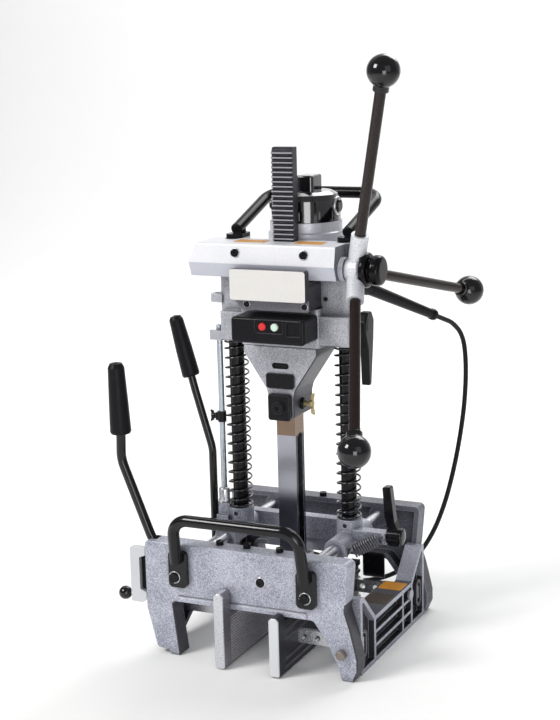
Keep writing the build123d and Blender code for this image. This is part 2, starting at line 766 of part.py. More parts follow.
def nose():
    """Tapered nose that holds the chisel, hollow round the chuck."""
    half = [(nose_half_top, head_low), (nose_half_top, head_low - 12), (nose_half_low + 3, nose_shoulder),
            (nose_half_low, nose_shoulder - 12), (nose_half_low, nose_low)]
    outline = half + [(-x, z) for x, z in reversed(half)]
    body = prism("Y", outline, body_front, nose_back, [0, 10, 20, 15, 3, 3, 15, 20, 10, 0])
    body = fillet(body.edges().group_by(Axis.Y)[0], 2.5)
    body = body - rod((0, 0, chisel_top), (0, 0, head_low), chuck_radius + chuck_room)
    size = chisel_size / 2
    body = body - block((-size, size), (-size, size), (nose_low, chisel_top))
    slot = Plane(origin=(0, body_front, cover_middle + 22), x_dir=(1, 0, 0), z_dir=(0, 1, 0))
    body = body - extrude(slot * SlotOverall(27, 9), amount=5)
    body = body - rod((size, 0, clamp_middle), (nose_half_low, 0, clamp_middle), 4 + fit)
    window = Plane(origin=(0, body_front, cover_middle), x_dir=(1, 0, 0), z_dir=(0, 1, 0))
    return body - extrude(window * RectangleRounded(36, 16, 3), amount=20)


def inspection_cover():
    """Dark cover plate over the chuck window and the insert of the slot above it."""
    plate = Plane(origin=(0, body_front, cover_middle), x_dir=(1, 0, 0), z_dir=(0, -1, 0))
    cover = extrude(plate * RectangleRounded(44, 22, 4), amount=2.5)
    slot = Plane(origin=(0, body_front + 5, cover_middle + 22), x_dir=(1, 0, 0), z_dir=(0, -1, 0))
    return joined([cover, extrude(slot * SlotOverall(27, 9), amount=2)])


def chisel_clamp():
    """Clamp block on the nose with its bolt."""
    face = Plane(origin=(0, body_front, clamp_middle), x_dir=(1, 0, 0), z_dir=(0, -1, 0))
    clamp = extrude(face * RectangleRounded(35, 39, 4), amount=9)
    clamp = chamfer(clamp.edges().group_by(Axis.Y)[0], 1.5)
    return clamp + socket_head((0, body_front - 9, clamp_middle), (0, -1, 0), 18, 5)


def chisel_wing_screw():
    plane = Plane(origin=(chisel_size / 2 + gap, 0, clamp_middle), x_dir=(0, 0, 1), z_dir=(1, 0, 0))
    return plane.location * wing_screw(22, 4, 17)


def chisel():
    """Square hollow chisel with pointed corners and a chip slot."""
    half = chisel_size / 2
    tool = block((-half, half), (-half, half), (chisel_tip, chisel_top))
    tool = tool - rod((0, 0, chisel_tip), (0, 0, chisel_top), chisel_bore / 2)
    drop = chisel_tip - half * 0.8
    tool = tool - rod((-half, 0, drop), (half, 0, drop), half * 1.06)
    tool = tool - rod((0, -half, drop), (0, half, drop), half * 1.06)
    slot = Plane(origin=(0, 0, chisel_tip + chisel_length * 0.45), x_dir=(0, 0, 1), z_dir=(1, 0, 0))
    return tool - extrude(slot * SlotOverall(chisel_length * 0.7, chisel_size * 0.6), amount=half + 1)


def chuck():
    """Drive chuck inside the nose with the shaft that enters the gear body."""
    foot = chisel_top + 6
    length = head_low + 32 - foot
    neck = chuck_radius - 2
    outline = [(0, 0), (0, chuck_radius - 3), (3, chuck_radius), (length - 55, chuck_radius),
               (length - 49, neck),
               (length - 37, neck), (length - 37, spindle_radius), (length, spindle_radius), (length, 0)]
    body = turned((0, 0, foot), (0, 0, 1), outline)
    return body - rod((0, 0, foot), (0, 0, foot + 24), shank_radius)


def auger_bit():
    """Twisted bit inside the chisel with a round shank in the chuck."""
    low = chisel_tip - 3
    high = chisel_top - 12
    section = Plane(origin=(0, 0, low)) * RectangleRounded(bit_width, bit_thickness, 2)
    twist = Solid.extrude_linear_with_rotation(
        section.face(), (0, 0, low), (0, 0, high - low), 360 * bit_twists)
    return twist + rod((0, 0, high), (0, 0, chisel_top + 30), shank_radius)


def tooth_half_angle(radius):
    """Half the angle that one pinion tooth takes up at a radius."""
    base = pitch_radius * math.cos(pressure_angle)
    pressure = math.acos(min(1.0, base / radius))
    pitch_half = (tooth_pitch / 2 - backlash / 2) / 2 / pitch_radius
    involute = math.tan(pressure_angle) - pressure_angle
    return pitch_half + involute - (math.tan(pressure) - pressure)


def pinion_shaft():
    """Feed shaft with its pinion; one tooth points at the rack."""
    base = pitch_radius * math.cos(pressure_angle)
    tip = pitch_radius + pinion_addendum
    root = pitch_radius - rack_addendum - 0.5
    flank = [root] + [base + (tip - base) * i / 3 for i in range(4)]
    points = []
    for tooth in range(pinion_teeth):
        centre = 2 * math.pi * tooth / pinion_teeth
        steps = [(radius, centre - tooth_half_angle(radius)) for radius in flank]
        steps += [(radius, centre + tooth_half_angle(radius)) for radius in reversed(flank)]
        points += [(shaft_y + r * math.cos(a), shaft_height + r * math.sin(a)) for r, a in steps]
    pinion = prism("X", points, -rack_half, rack_half)
    return pinion + rod((-37, shaft_y, shaft_height), (128, shaft_y, shaft_height), shaft_diameter / 2)


def rack():
    """Feed rack; a gap stands opposite the pinion tooth at rest."""
    tip = rack_line - rack_addendum
    root = rack_line + pinion_addendum + gap
    half = (tooth_pitch / 2 - backlash / 2) / 2
    tip_half = half - rack_addendum * math.tan(pressure_angle)
    root_half = half + (root - rack_line) * math.tan(pressure_angle)
    points = [(rack_back, rack_low), (tip, rack_low)]
    first = math.ceil((gearbox_top + 6 - shaft_height) / tooth_pitch - 0.5)
    last = math.floor((rack_top - 8 - shaft_height) / tooth_pitch - 0.5)
    start = shaft_height + (first + 0.5) * tooth_pitch - root_half - 1
    points += [(tip, start), (root, start)]
    for i in range(first, last + 1):
        centre = shaft_height + (i + 0.5) * tooth_pitch
        points += [(root, centre - root_half), (tip, centre - tip_half), (tip, centre + tip_half),
                   (root, centre + root_half)]
    points += [(root, rack_top - 3), (root + 3, rack_top), (rack_back, rack_top)]
    return prism("X", points, -rack_half, rack_half)


def arm_way(number):
    """Direction of one handle arm from the hub."""
    angle = math.radians(handle_turn + 120 * number)
    level = math.cos(handle_lean)
    return Vector(math.sin(handle_lean), level * math.sin(angle), level * math.cos(angle))


def handle_point(number, distance):
    return Vector(handle_x, shaft_y, shaft_height) + arm_way(number) * distance


def handle_hub():
    """Feed handle hub with three leaning sockets."""
    radius = hub_diameter / 2
    outline = [(0, 0), (0, radius - 4), (3, radius - 2), (8, radius), (20, radius), (24, radius - 3),
               (24, 0)]
    hub = turned((104, shaft_y, shaft_height), (1, 0, 0), outline)
    for number in range(3):
        hub = hub + rod(tuple(handle_point(number, 0)), tuple(handle_point(number, 55)), socket_outer / 2)
    hub = hub - rod((80, shaft_y, shaft_height), (104, shaft_y, shaft_height), 90)
    for number in range(3):
        hub = hub - rod(tuple(handle_point(number, 30)), tuple(handle_point(number, 56)), arm_diameter / 2)
    hub = hub - rod((128, shaft_y, shaft_height), (150, shaft_y, shaft_height), hub_diameter / 2 + 5.5)
    return hub - rod((103, shaft_y, shaft_height), (128, shaft_y, shaft_height), shaft_diameter / 2)


def handle_arms():
    reach = handle_reach - 6
    return joined([rod(tuple(handle_point(n, 30)), tuple(handle_point(n, reach)),
                       arm_diameter / 2) for n in range(3)])


def handle_balls():
    radius = ball_diameter / 2
    pieces = []
    for number in range(3):
        ball = Pos(*handle_point(number, handle_reach)) * Sphere(radius)
        neck = rod(tuple(handle_point(number, handle_reach - radius - 5)),
                   tuple(handle_point(number, handle_reach - 12)), 11)
        bore = rod(tuple(handle_point(number, handle_reach - 40)),
                   tuple(handle_point(number, handle_reach - 6)), arm_diameter / 2)
        pieces.append(ball + neck - bore)
    return joined(pieces)


def end_knob():
    """Two smooth dark discs on the end of the feed shaft."""
    pieces = [((128, 138.5), 25, 4.5), ((138, 141), 15, 0), ((140.5, 158), 21.5, 6.5)]
    knob = None
    for (low, high), radius, corner in pieces:
        disc = rod((low, shaft_y, shaft_height), (high, shaft_y, shaft_height), radius)
        if corner:
            disc = fillet(disc.edges().filter_by(GeomType.CIRCLE), corner)
        knob = disc if knob is None else knob + disc
    return knob


def switch_box():
    """Dark switch box with a dished panel and the button wells."""
    box = block((switch_left, switch_right), (switch_front, body_front), (switch_low, switch_high))
    box = fillet(box.edges().filter_by(Axis.Y), 5)
    box = fillet(box.edges().group_by(Axis.Y)[0], 4)
    field = Plane(origin=((off_x + on_x) / 2, switch_front, button_height), x_dir=(1, 0, 0),
                  z_dir=(0, 1, 0))
    box = box - extrude(field * RectangleRounded(44, 19, 4), amount=1.2)
    panel = Plane(origin=(on_x + 28, switch_front, button_height - 2), x_dir=(1, 0, 0), z_dir=(0, 1, 0))
    box = box - extrude(panel * RectangleRounded(22, 21, 3), amount=3)
    depth = switch_front + 9 + button_travel
    for x in (off_x, on_x):
        box = box - rod((x, switch_front - 1, button_height), (x, depth, button_height),
                        button_diameter / 2 + gap)
    return box


def button(x):
    radius = button_diameter / 2
    outline = [(0, 0), (0, radius - 1), (1, radius), (10.5, radius), (10.5, 0)]
    return turned((x, switch_front - 2.5, button_height), (0, 1, 0), outline)


def jaw_outline(timber_face, back_face, ribs):
    """Cross section of a jaw: fine teeth towards the timber, optional ribs on the back."""
    way = 1 if timber_face > back_face else -1
    root = timber_face - way * 1.4
    points = [(root, jaw_low)]
    count = int((jaw_high - jaw_low - 6) / serration)
    for i in range(count):
        low = jaw_low + 2 + i * serration
        points += [(root, low + 0.6), (timber_face, low + serration / 2), (root, low + serration - 0.6)]
    points += [(root, jaw_high), (back_face, jaw_high)]
    for z in ribs:
        inner = back_face + way * 3
        points += [(back_face, z + 4), (inner, z + 2.5), (inner, z - 2.5), (back_face, z - 4)]
    return points + [(back_face, jaw_low)]


def left_jaw():
    face = left_jaw_x + jaw_thickness
    jaw = prism("Y", jaw_outline(face, left_jaw_x, []), jaw_front + 6, frame_inner + jaw_margin)
    nose_block = [(left_jaw_x, jaw_low), (face, jaw_low), (face, 109), (face - 4, 113),
                  (left_jaw_x + 4, 113),
                  (left_jaw_x, 109)]
    stop = -frame_reach - bead_proud - 1
    upstand = prism("Y", nose_block, jaw_front, stop, [3, 3, 2, 3, 3, 2])
    upstand = fillet(upstand.edges().group_by(Axis.Y)[0], 2)
    return jaw + upstand


def right_jaw():
    back = right_jaw_x + jaw_thickness
    jaw = prism("Y", jaw_outline(right_jaw_x, back, [66, 54, 24, 12]), jaw_front + 6, bar_y + jaw_margin)
    nose_block = [(right_jaw_x, jaw_low), (back, jaw_low), (back, 84), (back - 4, 88),
                  (right_jaw_x + 4, 88),
                  (right_jaw_x, 84)]
    stop = -frame_reach - bead_proud - 1
    upstand = prism("Y", nose_block, jaw_front, stop, [3, 3, 2, 3, 3, 2])
    upstand = fillet(upstand.edges().group_by(Axis.Y)[0], 2)
    return jaw + upstand


def jaw_bars():
    """Drilled flat bars that carry the right jaw through the right rail."""
    start = right_jaw_x + jaw_thickness
    end = rail_outer - 4
    half = bar_thickness / 2
    pieces = []
    for side in sides:
        bar = block((start, end), (side * bar_y - half, side * bar_y + half),
                    (bar_height - bar_tall / 2, bar_height + bar_tall / 2))
        for number in range(int((end - start - 8) / hole_pitch) + 1):
            x = start + 9 + number * hole_pitch
            bar = bar - rod((x, side * bar_y - half, bar_height), (x, side * bar_y + half, bar_height), 4)
        pieces.append(bar)
    return joined(pieces)


def jaw_rods():
    """Guide rods of the left jaw and the push bar that the clamp lever moves."""
    end = -rail_outer + 2
    pieces = [rod((left_jaw_x, y, jaw_rod_height), (end, y, jaw_rod_height), jaw_rod_diameter / 2)
              for y in (-jaw_rod_y, jaw_rod_y)]
    half = push_thickness / 2
    push = block((clamp_x - 5, left_jaw_x), (push_y - half, push_y + half),
                 (push_height - 7, push_height + 7))
    pin_end = clamp_arm_y - clamp_arm_thickness / 2 - 0.5
    pin = rod((clamp_x, push_y, push_height), (clamp_x, pin_end, push_height), 4)
    return joined(pieces + [push + pin])


def clamp_lever():
    """Clamp lever with its cross shaft and the slotted arm that moves the push bar."""
    hub = rod((clamp_x, clamp_y - 7.5, clamp_height), (clamp_x, clamp_y + 8, clamp_height), 10)
    lever = hub + tube(clamp_points(), [20, 60, 60], clamp_bar / 2)
    shaft_end = clamp_arm_y + clamp_arm_thickness / 2
    lever = lever + rod((clamp_x, -frame_reach + 3.5, clamp_height), (clamp_x, shaft_end, clamp_height),
                        clamp_shaft / 2)
    outline = [(clamp_x - 9, clamp_height + 9), (clamp_x + 9, clamp_height + 9),
               (clamp_x + 9, push_height - 12),
               (clamp_x - 9, push_height - 12)]
    arm = prism("Y", outline, shaft_end - clamp_arm_thickness, shaft_end, [8, 8, 5, 5])
    slot = Plane(origin=(clamp_x, clamp_arm_y, push_height), x_dir=(0, 0, 1), z_dir=(0, 1, 0))
    return lever + (arm - extrude(slot * SlotOverall(28, 11), amount=6, both=True))


def clamp_grip():
    start, end = clamp_points()[-2:]
    way = (end - start).normalized()
    radius = clamp_bar / 2
    outline = [(1, radius), (1, 14), (4, 15.5), (50, 14), (98, 12), (104, 9), (106, 0), (98.5, 0),
               (98.5, radius)]
    return turned(tuple(start), tuple(way), outline)


def shift_lever():
    """Shift lever on the left rail with the pin that moves the carriage."""
    low = shift_x - shift_bar / 2 - 0.8
    high = shift_x + shift_bar / 2 + 0.8
    hub = rod((low, 0, shift_height), (high, 0, shift_height), 13)
    lever = hub + tube(shift_points(), [60, 60], shift_bar / 2)
    lever = lever + rod((shift_x, 0, shift_pin_height), (-106, 0, shift_pin_height), 4)
    return lever - rod((low, 0, shift_height), (high, 0, shift_height), shift_stud / 2 + fit)


def shift_grip():
    start, end = shift_points()[-2:]
    way = (end - start).normalized()
    start = start + way * 22
    radius = shift_bar / 2
    outline = [(0, radius), (0, 12), (3, 13.5), (45, 12.5), (88, 10.5), (93, 8), (95, 0), (86.7, 0),
               (86.7, radius)]
    return turned(tuple(start), tuple(way), outline)


def carriage_lock_lever():
    """Flat lock lever on the right of the carriage, leaning in towards the column."""
    low = lock_x - 9.5
    high = lock_x + 9
    base = lock_height
    outline = [(low + 1, base - 14), (high, base - 14), (high + 1, base + 5), (lock_x + 2, base + 22),
               (lock_x - 4, base + 74), (lock_x - 16, base + 74), (lock_x - 13, base + 28),
               (low + 1, base + 13)]
    lever = prism("Y", outline, -6, 6, [4, 4, 6, 10, 3, 3, 10, 3])
    lever = lever + rod((low, 0, base), (high, 0, base), 12)
    return lever - rod((low, 0, base), (high + 2, 0, base), 6 + fit)


def head_lock_lever():
    """Dark lever that hangs from the right sleeve: a round head that narrows to its tip."""
    top = lock_pivot
    points = [(-15, 6), (-6, 19), (9, 19), (18, 6), (16, -20), (6, -88), (-3, -88), (-7, -32), (-16, -10)]
    outline = [(column_y + y, top + z) for y, z in points]
    low = column_x + head_sleeve / 2 + 4
    lever = prism("X", outline, low, low + 12, [6, 5, 5, 6, 12, 4, 4, 12, 6])
    lever = fillet(lever.edges().group_by(Axis.X)[-1], 2.5)
    return lever - rod((low, column_y, top), (low + 12, column_y, top), 6 + fit)


def latch_plate():
    """Flat plate held off the left end of the front frame."""
    edge = frame_left
    left = edge - 25
    slot = edge - 10
    plate = [(left, 74), (edge - 6, 74), (edge, 80), (edge, 90), (slot, 94), (slot, 142), (edge, 146),
             (edge, 158), (left, 158)]
    body = prism("Y", plate, latch_y - 3.7, latch_y + 3.7, [3, 0, 0, 0, 2, 2, 0, 0, 5])
    return body - rod((left - 1, latch_y, latch_rise), (edge + 1, latch_y, latch_rise), latch_plunger + fit)


def latch_knob():
    """Ball knob with its plunger in the latch plate, turned in one piece."""
    radius = 10.0
    centre = Vector(frame_left - 37, latch_y, latch_rise)
    stem = math.sqrt(radius**2 - latch_plunger**2)
    start = centre - Vector(radius, 0, 0)
    top = centre + Vector(0, 0, radius)
    neck = centre + Vector(stem, 0, latch_plunger)
    tip = centre + Vector(36, 0, latch_plunger)
    foot = centre + Vector(36, 0, 0)
    edges = [ThreePointArc(start, top, neck), Line(neck, tip), Line(tip, foot), Line(foot, start)]
    return revolve(make_face(edges), axis=Axis(tuple(centre), (1, 0, 0)))


def cord_guard():
    """Cord clamp under the right ear with its tapered bend guard."""
    clamp = block((78, 100), (34, 62), (crosshead_low - 33, crosshead_low + 3))
    clamp = fillet(clamp.edges().filter_by(Axis.Z), 5)
    way = (guard_end - guard_start).normalized()
    length = (guard_end - guard_start).length
    outline = [(0, 0), (0, 11), (16, 11), (19, 8.5), (length, 5.6), (length, 0)]
    guard = turned(tuple(guard_start), tuple(way), outline)
    bore = rod(tuple(guard_end - way * 12), tuple(guard_end + way), cord_diameter / 2)
    return clamp + guard - bore


def cord_route():
    """Points of the cord from the guard down to the coil, with the bend at each inner point."""
    way = (guard_end - guard_start).normalized()
    floor = cord_diameter / 2 + 0.3
    start = guard_end - way * 12
    fall = [(172, 285, 0.905), (174, 294, 0.81), (172, 295, 0.68), (166, 291, 0.553), (157, 284, 0.425),
            (145, 275, 0.3), (128, 262, 0.186), (102, 248, 0.093), (64, 234, 0.029)]
    points = [start, start + way * 60]
    points += [Vector(x, y, guard_end.Z * share) for x, y, share in fall]
    points += [Vector(16, 218, floor), Vector(coil_x + 66, coil_start().Y, floor), coil_start()]
    bends = []
    for i in range(1, len(points) - 1):
        before = points[i] - points[i - 1]
        after = points[i + 1] - points[i]
        turn = math.acos(max(-1.0, min(1.0, before.normalized().dot(after.normalized()))))
        bends.append(0.45 * min(before.length, after.length) / math.tan(turn / 2))
    return points, bends


def cord():
    points, bends = cord_route()
    print("cord bends", [round(bend) for bend in bends])
    line = FilletPolyline(*points, radius=bends)
    solid = sweep(Plane(origin=line @ 0, z_dir=line % 0) * Circle(cord_diameter / 2), path=line)
    share = solid.volume / (math.pi * cord_diameter**2 / 4 * line.length)
    print("cord length", round(line.length), "volume share", round(share, 4))
    return solid


def coil_start():
    """Point where the cord joins the coil, at its front, running towards -X."""
    outer = coil_diameter / 2 + coil_pitch * coil_turns / 2
    return Vector(coil_x + cord_diameter + 2, coil_y - outer, cord_diameter / 2 + 0.3)


def coil_edges():
    """Lower layer wound inwards, a climb, and the upper layer wound outwards, in half turns."""
    low = coil_start()
    straight = Vector(coil_x, low.Y, low.Z)
    edges = [Line(low, straight)]
    point = straight
    radius = coil_y - low.Y
    way = -1
    half_turns = coil_turns * 2
    for number in range(half_turns * 2):
        outward = number > half_turns
        climb = cord_diameter + 0.6 if number == half_turns else 0
        across = 2 * radius * (1 if way < 0 else -1)
        end = Vector(point.X, point.Y + across, point.Z + climb)
        middle = (point + end) * 0.5 + Vector(way * (end - point).length / 2, 0, 0)
        edges.append(ThreePointArc(point, middle, end))
        point = end
        way = -way
        if number < half_turns - 1:
            radius -= coil_pitch / 2
        elif outward:
            radius += coil_pitch / 2
    edges.append(Line(point, Vector(point.X + way * 54, point.Y, point.Z)))
    return edges


def cord_coil():
    line = Wire(coil_edges())
    solid = sweep(Plane(origin=line @ 0, z_dir=line % 0) * Circle(cord_diameter / 2), path=line)
    share = solid.volume / (math.pi * cord_diameter**2 / 4 * line.length)
    print("coil length", round(line.length), "volume share", round(share, 4))
    return solid


def plug():
    """Two-pin plug at the end of the cord."""
    line = coil_edges()[-1]
    start = line @ 1
    way = line % 1
    outline = [(-10, 4.6), (-10, 6), (0, 8), (6, 11), (30, 11), (32, 9), (32, 0), (0, 0), (0, 4.6)]
    body = turned(tuple(start), tuple(way), outline)
    for side in sides:
        body = body + block(sorted((start.X + way.X * 30, start.X + way.X * 49)),
                            (start.Y + side * 6.3 - 0.8, start.Y + side * 6.3 + 0.8),
                            (start.Z - 3, start.Z + 3))
    return body


def clamp_points():
    """Bends of the clamp lever from its shaft up to the end of the grip."""
    return [Vector(clamp_x, clamp_y, clamp_height), Vector(clamp_x - 22, clamp_y, clamp_height + 44),
            Vector(clamp_x - 63, clamp_y - 4, clamp_height + 154),
            Vector(clamp_x - 61, clamp_y - 5, clamp_height + 192),
            Vector(clamp_x - 63, clamp_y - 7, clamp_height + 290)]


def shift_points():
    """Bends of the shift lever from its hub up to the end of the grip."""
    return [Vector(shift_x, 0, shift_height + 6), Vector(shift_x, 0, shift_height + 211),
            Vector(shift_x - 26, 0, shift_height + 299), Vector(shift_x - 54, 0, shift_height + 404)]


nodes = {
    "front_frame": front_frame, "rear_frame": rear_frame, "left_rail": left_rail, "right_rail": right_rail,
    "guide_rods": guide_rods, "index_pin": index_pin, "base_bolts": base_bolts,
    "front_handle": front_handle,
    "latch_plate": latch_plate, "latch_knob": latch_knob,
    "carriage_casting": carriage_casting, "left_column": lambda: column(-1),
    "right_column": lambda: column(1),
    "left_spring": lambda: column_spring(-1), "right_spring": lambda: column_spring(1),
    "lock_spring": lock_spring,
    "crosshead": crosshead, "shaft_bushes": shaft_bushes, "crosshead_bolts": crosshead_bolts,
    "top_handle": top_handle,
    "depth_rod": depth_rod, "stop_collar": stop_collar, "stop_wing_bolt": stop_wing_bolt,
    "cord_guard": cord_guard, "cord": cord, "cord_coil": cord_coil, "plug": plug,
    "head_casting": head_casting, "slide_bushes": slide_bushes, "gearbox": gearbox,
    "head_screws": head_screws,
    "motor_housing": motor_housing, "motor_cover": motor_cover, "brush_caps": brush_caps, "nose": nose,
    "inspection_cover": inspection_cover, "chisel_clamp": chisel_clamp,
    "chisel_wing_screw": chisel_wing_screw,
    "chisel": chisel, "chuck": chuck, "auger_bit": auger_bit, "rack": rack, "switch_box": switch_box,
    "off_button": lambda: button(off_x), "on_button": lambda: button(on_x),
    "pinion_shaft": pinion_shaft, "handle_hub": handle_hub, "handle_arms": handle_arms,
    "handle_balls": handle_balls,
    "end_knob": end_knob,
    "left_jaw": left_jaw, "jaw_rods": jaw_rods, "right_jaw": right_jaw, "jaw_bars": jaw_bars,
    "clamp_lever": clamp_lever, "clamp_grip": clamp_grip, "shift_lever": shift_lever,
    "shift_grip": shift_grip,
    "carriage_lock_lever": carriage_lock_lever, "head_lock_lever": head_lock_lever,
}

os.makedirs("parts", exist_ok=True)
for name, make in nodes.items():
    export_step(Pos(0, axis_y, 0) * make(), f"parts/{name}.step")
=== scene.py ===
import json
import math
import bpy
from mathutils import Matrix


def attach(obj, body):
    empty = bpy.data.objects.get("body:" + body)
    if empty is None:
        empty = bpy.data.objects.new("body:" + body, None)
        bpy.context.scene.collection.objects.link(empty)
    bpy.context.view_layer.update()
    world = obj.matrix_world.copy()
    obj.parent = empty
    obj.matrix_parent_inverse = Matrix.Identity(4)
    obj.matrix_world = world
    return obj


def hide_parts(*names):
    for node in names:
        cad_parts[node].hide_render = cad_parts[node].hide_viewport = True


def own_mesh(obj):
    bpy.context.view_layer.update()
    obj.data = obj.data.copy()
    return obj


bl_info = {
    "name": "Hollow chisel mortiser",
    "version": (1, 0, 0),
    "blender": (4, 5, 0),
    "location": "View3D > Sidebar > Mortiser",
    "description": "Dresses the packed mortiser with finishes, springs, cord, plates and a studio stage",
    "category": "Object",
}

import bpy
import numpy as np
from mathutils import Matrix, Vector

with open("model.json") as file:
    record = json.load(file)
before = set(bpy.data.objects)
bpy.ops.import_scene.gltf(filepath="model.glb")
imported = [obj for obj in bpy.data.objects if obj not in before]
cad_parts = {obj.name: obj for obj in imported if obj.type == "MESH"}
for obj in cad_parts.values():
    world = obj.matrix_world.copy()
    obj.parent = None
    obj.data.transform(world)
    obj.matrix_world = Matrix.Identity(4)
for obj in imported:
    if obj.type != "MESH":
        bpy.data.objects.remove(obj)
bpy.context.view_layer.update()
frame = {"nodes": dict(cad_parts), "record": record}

MM = 0.001
RIGHT = (1, 0, 0)
FRONT = (0, -1, 0)
BACK = (0, 1, 0)
UP = (0, 0, 1)
DOWN = (0, 0, -1)

# Shared sizes in millimetres. Places count from the chisel axis.
AXIS_Y = -17.5  # the chisel axis itself, in the frame
COLUMN_X = 88.4  # columns to each side of the chisel
COLUMN_Y = 8.0  # columns behind the chisel
GUARD_ROOT = np.array([93.0, 54.0, 521.0])  # the bend guard at the crosshead
GUARD_END = np.array([150.0, 215.0, 452.0])  # where the cord leaves the guard
GUARD_LENGTH = np.linalg.norm(GUARD_END - GUARD_ROOT)
GUARD_WAY = (GUARD_END - GUARD_ROOT) / GUARD_LENGTH

SHIFT = np.array([0, AXIS_Y, 0])  # from the chisel axis to the frame

# Sides of what is round.
ROUND_SIDES = 40
PLATE_SIDES = 64
WASHER_SIDES = 16


def linear(code):
    """Linear colour with alpha from an sRGB hex value: a straight foot and a 2.4 power above it."""
    levels = np.array([int(code[i:i + 2], 16) for i in (1, 3, 5)]) / 255
    foot = levels / 12.92
    curve = ((levels + 0.055) / 1.055) ** 2.4
    return tuple(np.where(levels <= 0.04045, foot, curve)) + (1.0,)


def paint_of(value):
    """Linear colour of a hex value; a colour property is linear already."""
    return linear(value) if isinstance(value, str) else tuple(value)


def frame_point(x, y, z):
    """Point given from the chisel axis in millimetres, as a vector of the frame in metres."""
    return (np.array([x, y, z]) + SHIFT) * MM


def colour(label, code):
    """Colour property with its default from a hex value."""
    return bpy.props.FloatVectorProperty(
        name=label, description=f"Colour of the {label.lower()}", subtype="COLOR", size=4,
        min=0.0, max=1.0, default=linear(code))


def length(label, text, metres):
    """Length property in metres."""
    return bpy.props.FloatProperty(name=label, description=text, default=metres, unit="LENGTH", precision=4)


class MortiserSizes(bpy.types.PropertyGroup):
    """Sizes of the pieces that are added to the frame."""
    spring_wire: length("Spring wire", "Wire diameter of the column springs", 3.0 * MM)
    spring_radius: length("Spring radius", "Mean radius of the column springs", 17.0 * MM)
    spring_turns: bpy.props.FloatProperty(
        name="Spring turns", description="Open turns of a column spring", default=17.0)
    lock_wire: length("Lock spring wire", "Wire diameter of the lock spring", 2.9 * MM)
    lock_radius: length("Lock spring radius", "Mean radius of the lock spring", 8.6 * MM)
    lock_turns: bpy.props.FloatProperty(
        name="Lock spring turns", description="Turns of the lock spring", default=10.0)
    cord_diameter: length("Cord diameter", "Outside diameter of the mains cord", 7.5 * MM)
    plate_thickness: length("Plate thickness", "Thickness of the bare plates", 0.6 * MM)
    guard_bead: length("Guard bead", "Height of the bead at the end of the cord's bend guard", 1.5 * MM)


class MortiserColours(bpy.types.PropertyGroup):
    """Main colours of the finishes."""
    silver: colour("Silver paint", "#C6C8D4")
    bright: colour("Bright paint", "#E8E8EC")
    grey: colour("Grey paint", "#84828A")
    black: colour("Black plastic", "#0C0B0E")
    amber: colour("Amber plate", "#D8961E")
    plate: colour("White plate", "#E6E4E0")
    floor: colour("Floor", "#FBFBFA")


# How every finish is built.
WIDE_MM = 60.0  # size of the wide tone changes
WIDE_SHARE = 0.35  # weight of the wide noise beside the fine one
NOISE_SPAN = (0.3, 0.7)  # where most of the fine noise lies
FACING_LEAST = 0.3  # least cosine between a face and the way it has to look
# Painted shade in the corners, from ambient occlusion: its colour, its reach and where it starts.
CORNER_SHADE = "#1A191E"
CORNER_SHADE_REACH = 22.0  # millimetres from a corner that take the painted shade
CORNER_SHADE_OPEN = (0.85, 0.25)  # open share of the sky where the painted shade starts and where it is full
WEAR_AND_HIGHLIGHT_TURN = (0.995, 0.88)  # cosine from the rounded normal to the face where the pale edge starts and is full: a painted highlight, partly wear
WEAR_AND_HIGHLIGHT_MOST = 0.8
COAT_ROUGH = 0.08
LEAST_ROUGH = 0.02
ANY = (None, None)  # open on both sides


def add(tree, kind, inputs=None, **settings):
    """Adds one node; inputs maps socket names or numbers to values or to another node's output."""
    node = tree.nodes.new(kind)
    for key, value in settings.items():
        setattr(node, key, value)
    for key, value in (inputs or {}).items():
        if isinstance(value, bpy.types.NodeSocket):
            tree.links.new(value, node.inputs[key])
        else:
            node.inputs[key].default_value = value
    return node


def area(code, x=ANY, y=ANY, z=ANY, facing=None):
    """One colour over a box of the frame in millimetres, with open sides as None; facing keeps it to the
    faces that look that way."""
    return code, (x, y, z), facing


def inside(tree, place, sides, facing):
    """Share of 1 inside a box and on faces that look the given way, else 0: the product of one test for
    each side of the box that isn't open and of one for the facing."""
    values = add(tree, "ShaderNodeSeparateXYZ", {0: place}).outputs
    tests = []
    for value, (low, high) in zip(values, sides):
        if low is not None:
            tests.append((value, low * MM, "GREATER_THAN"))
        if high is not None:
            tests.append((value, high * MM, "LESS_THAN"))
    if facing is not None:
        normal = add(tree, "ShaderNodeNewGeometry").outputs["Normal"]
        turn = add(tree, "ShaderNodeVectorMath", {0: normal, 1: facing}, operation="DOT_PRODUCT")
        tests.append((turn.outputs["Value"], FACING_LEAST, "GREATER_THAN"))
    shares = [add(tree, "ShaderNodeMath", {0: value, 1: limit}, operation=kind).outputs[0]
              for value, limit, kind in tests]
    share = shares[0]
    for other in shares[1:]:
        share = add(tree, "ShaderNodeMath", {0: share, 1: other}, operation="MULTIPLY").outputs[0]
    return share


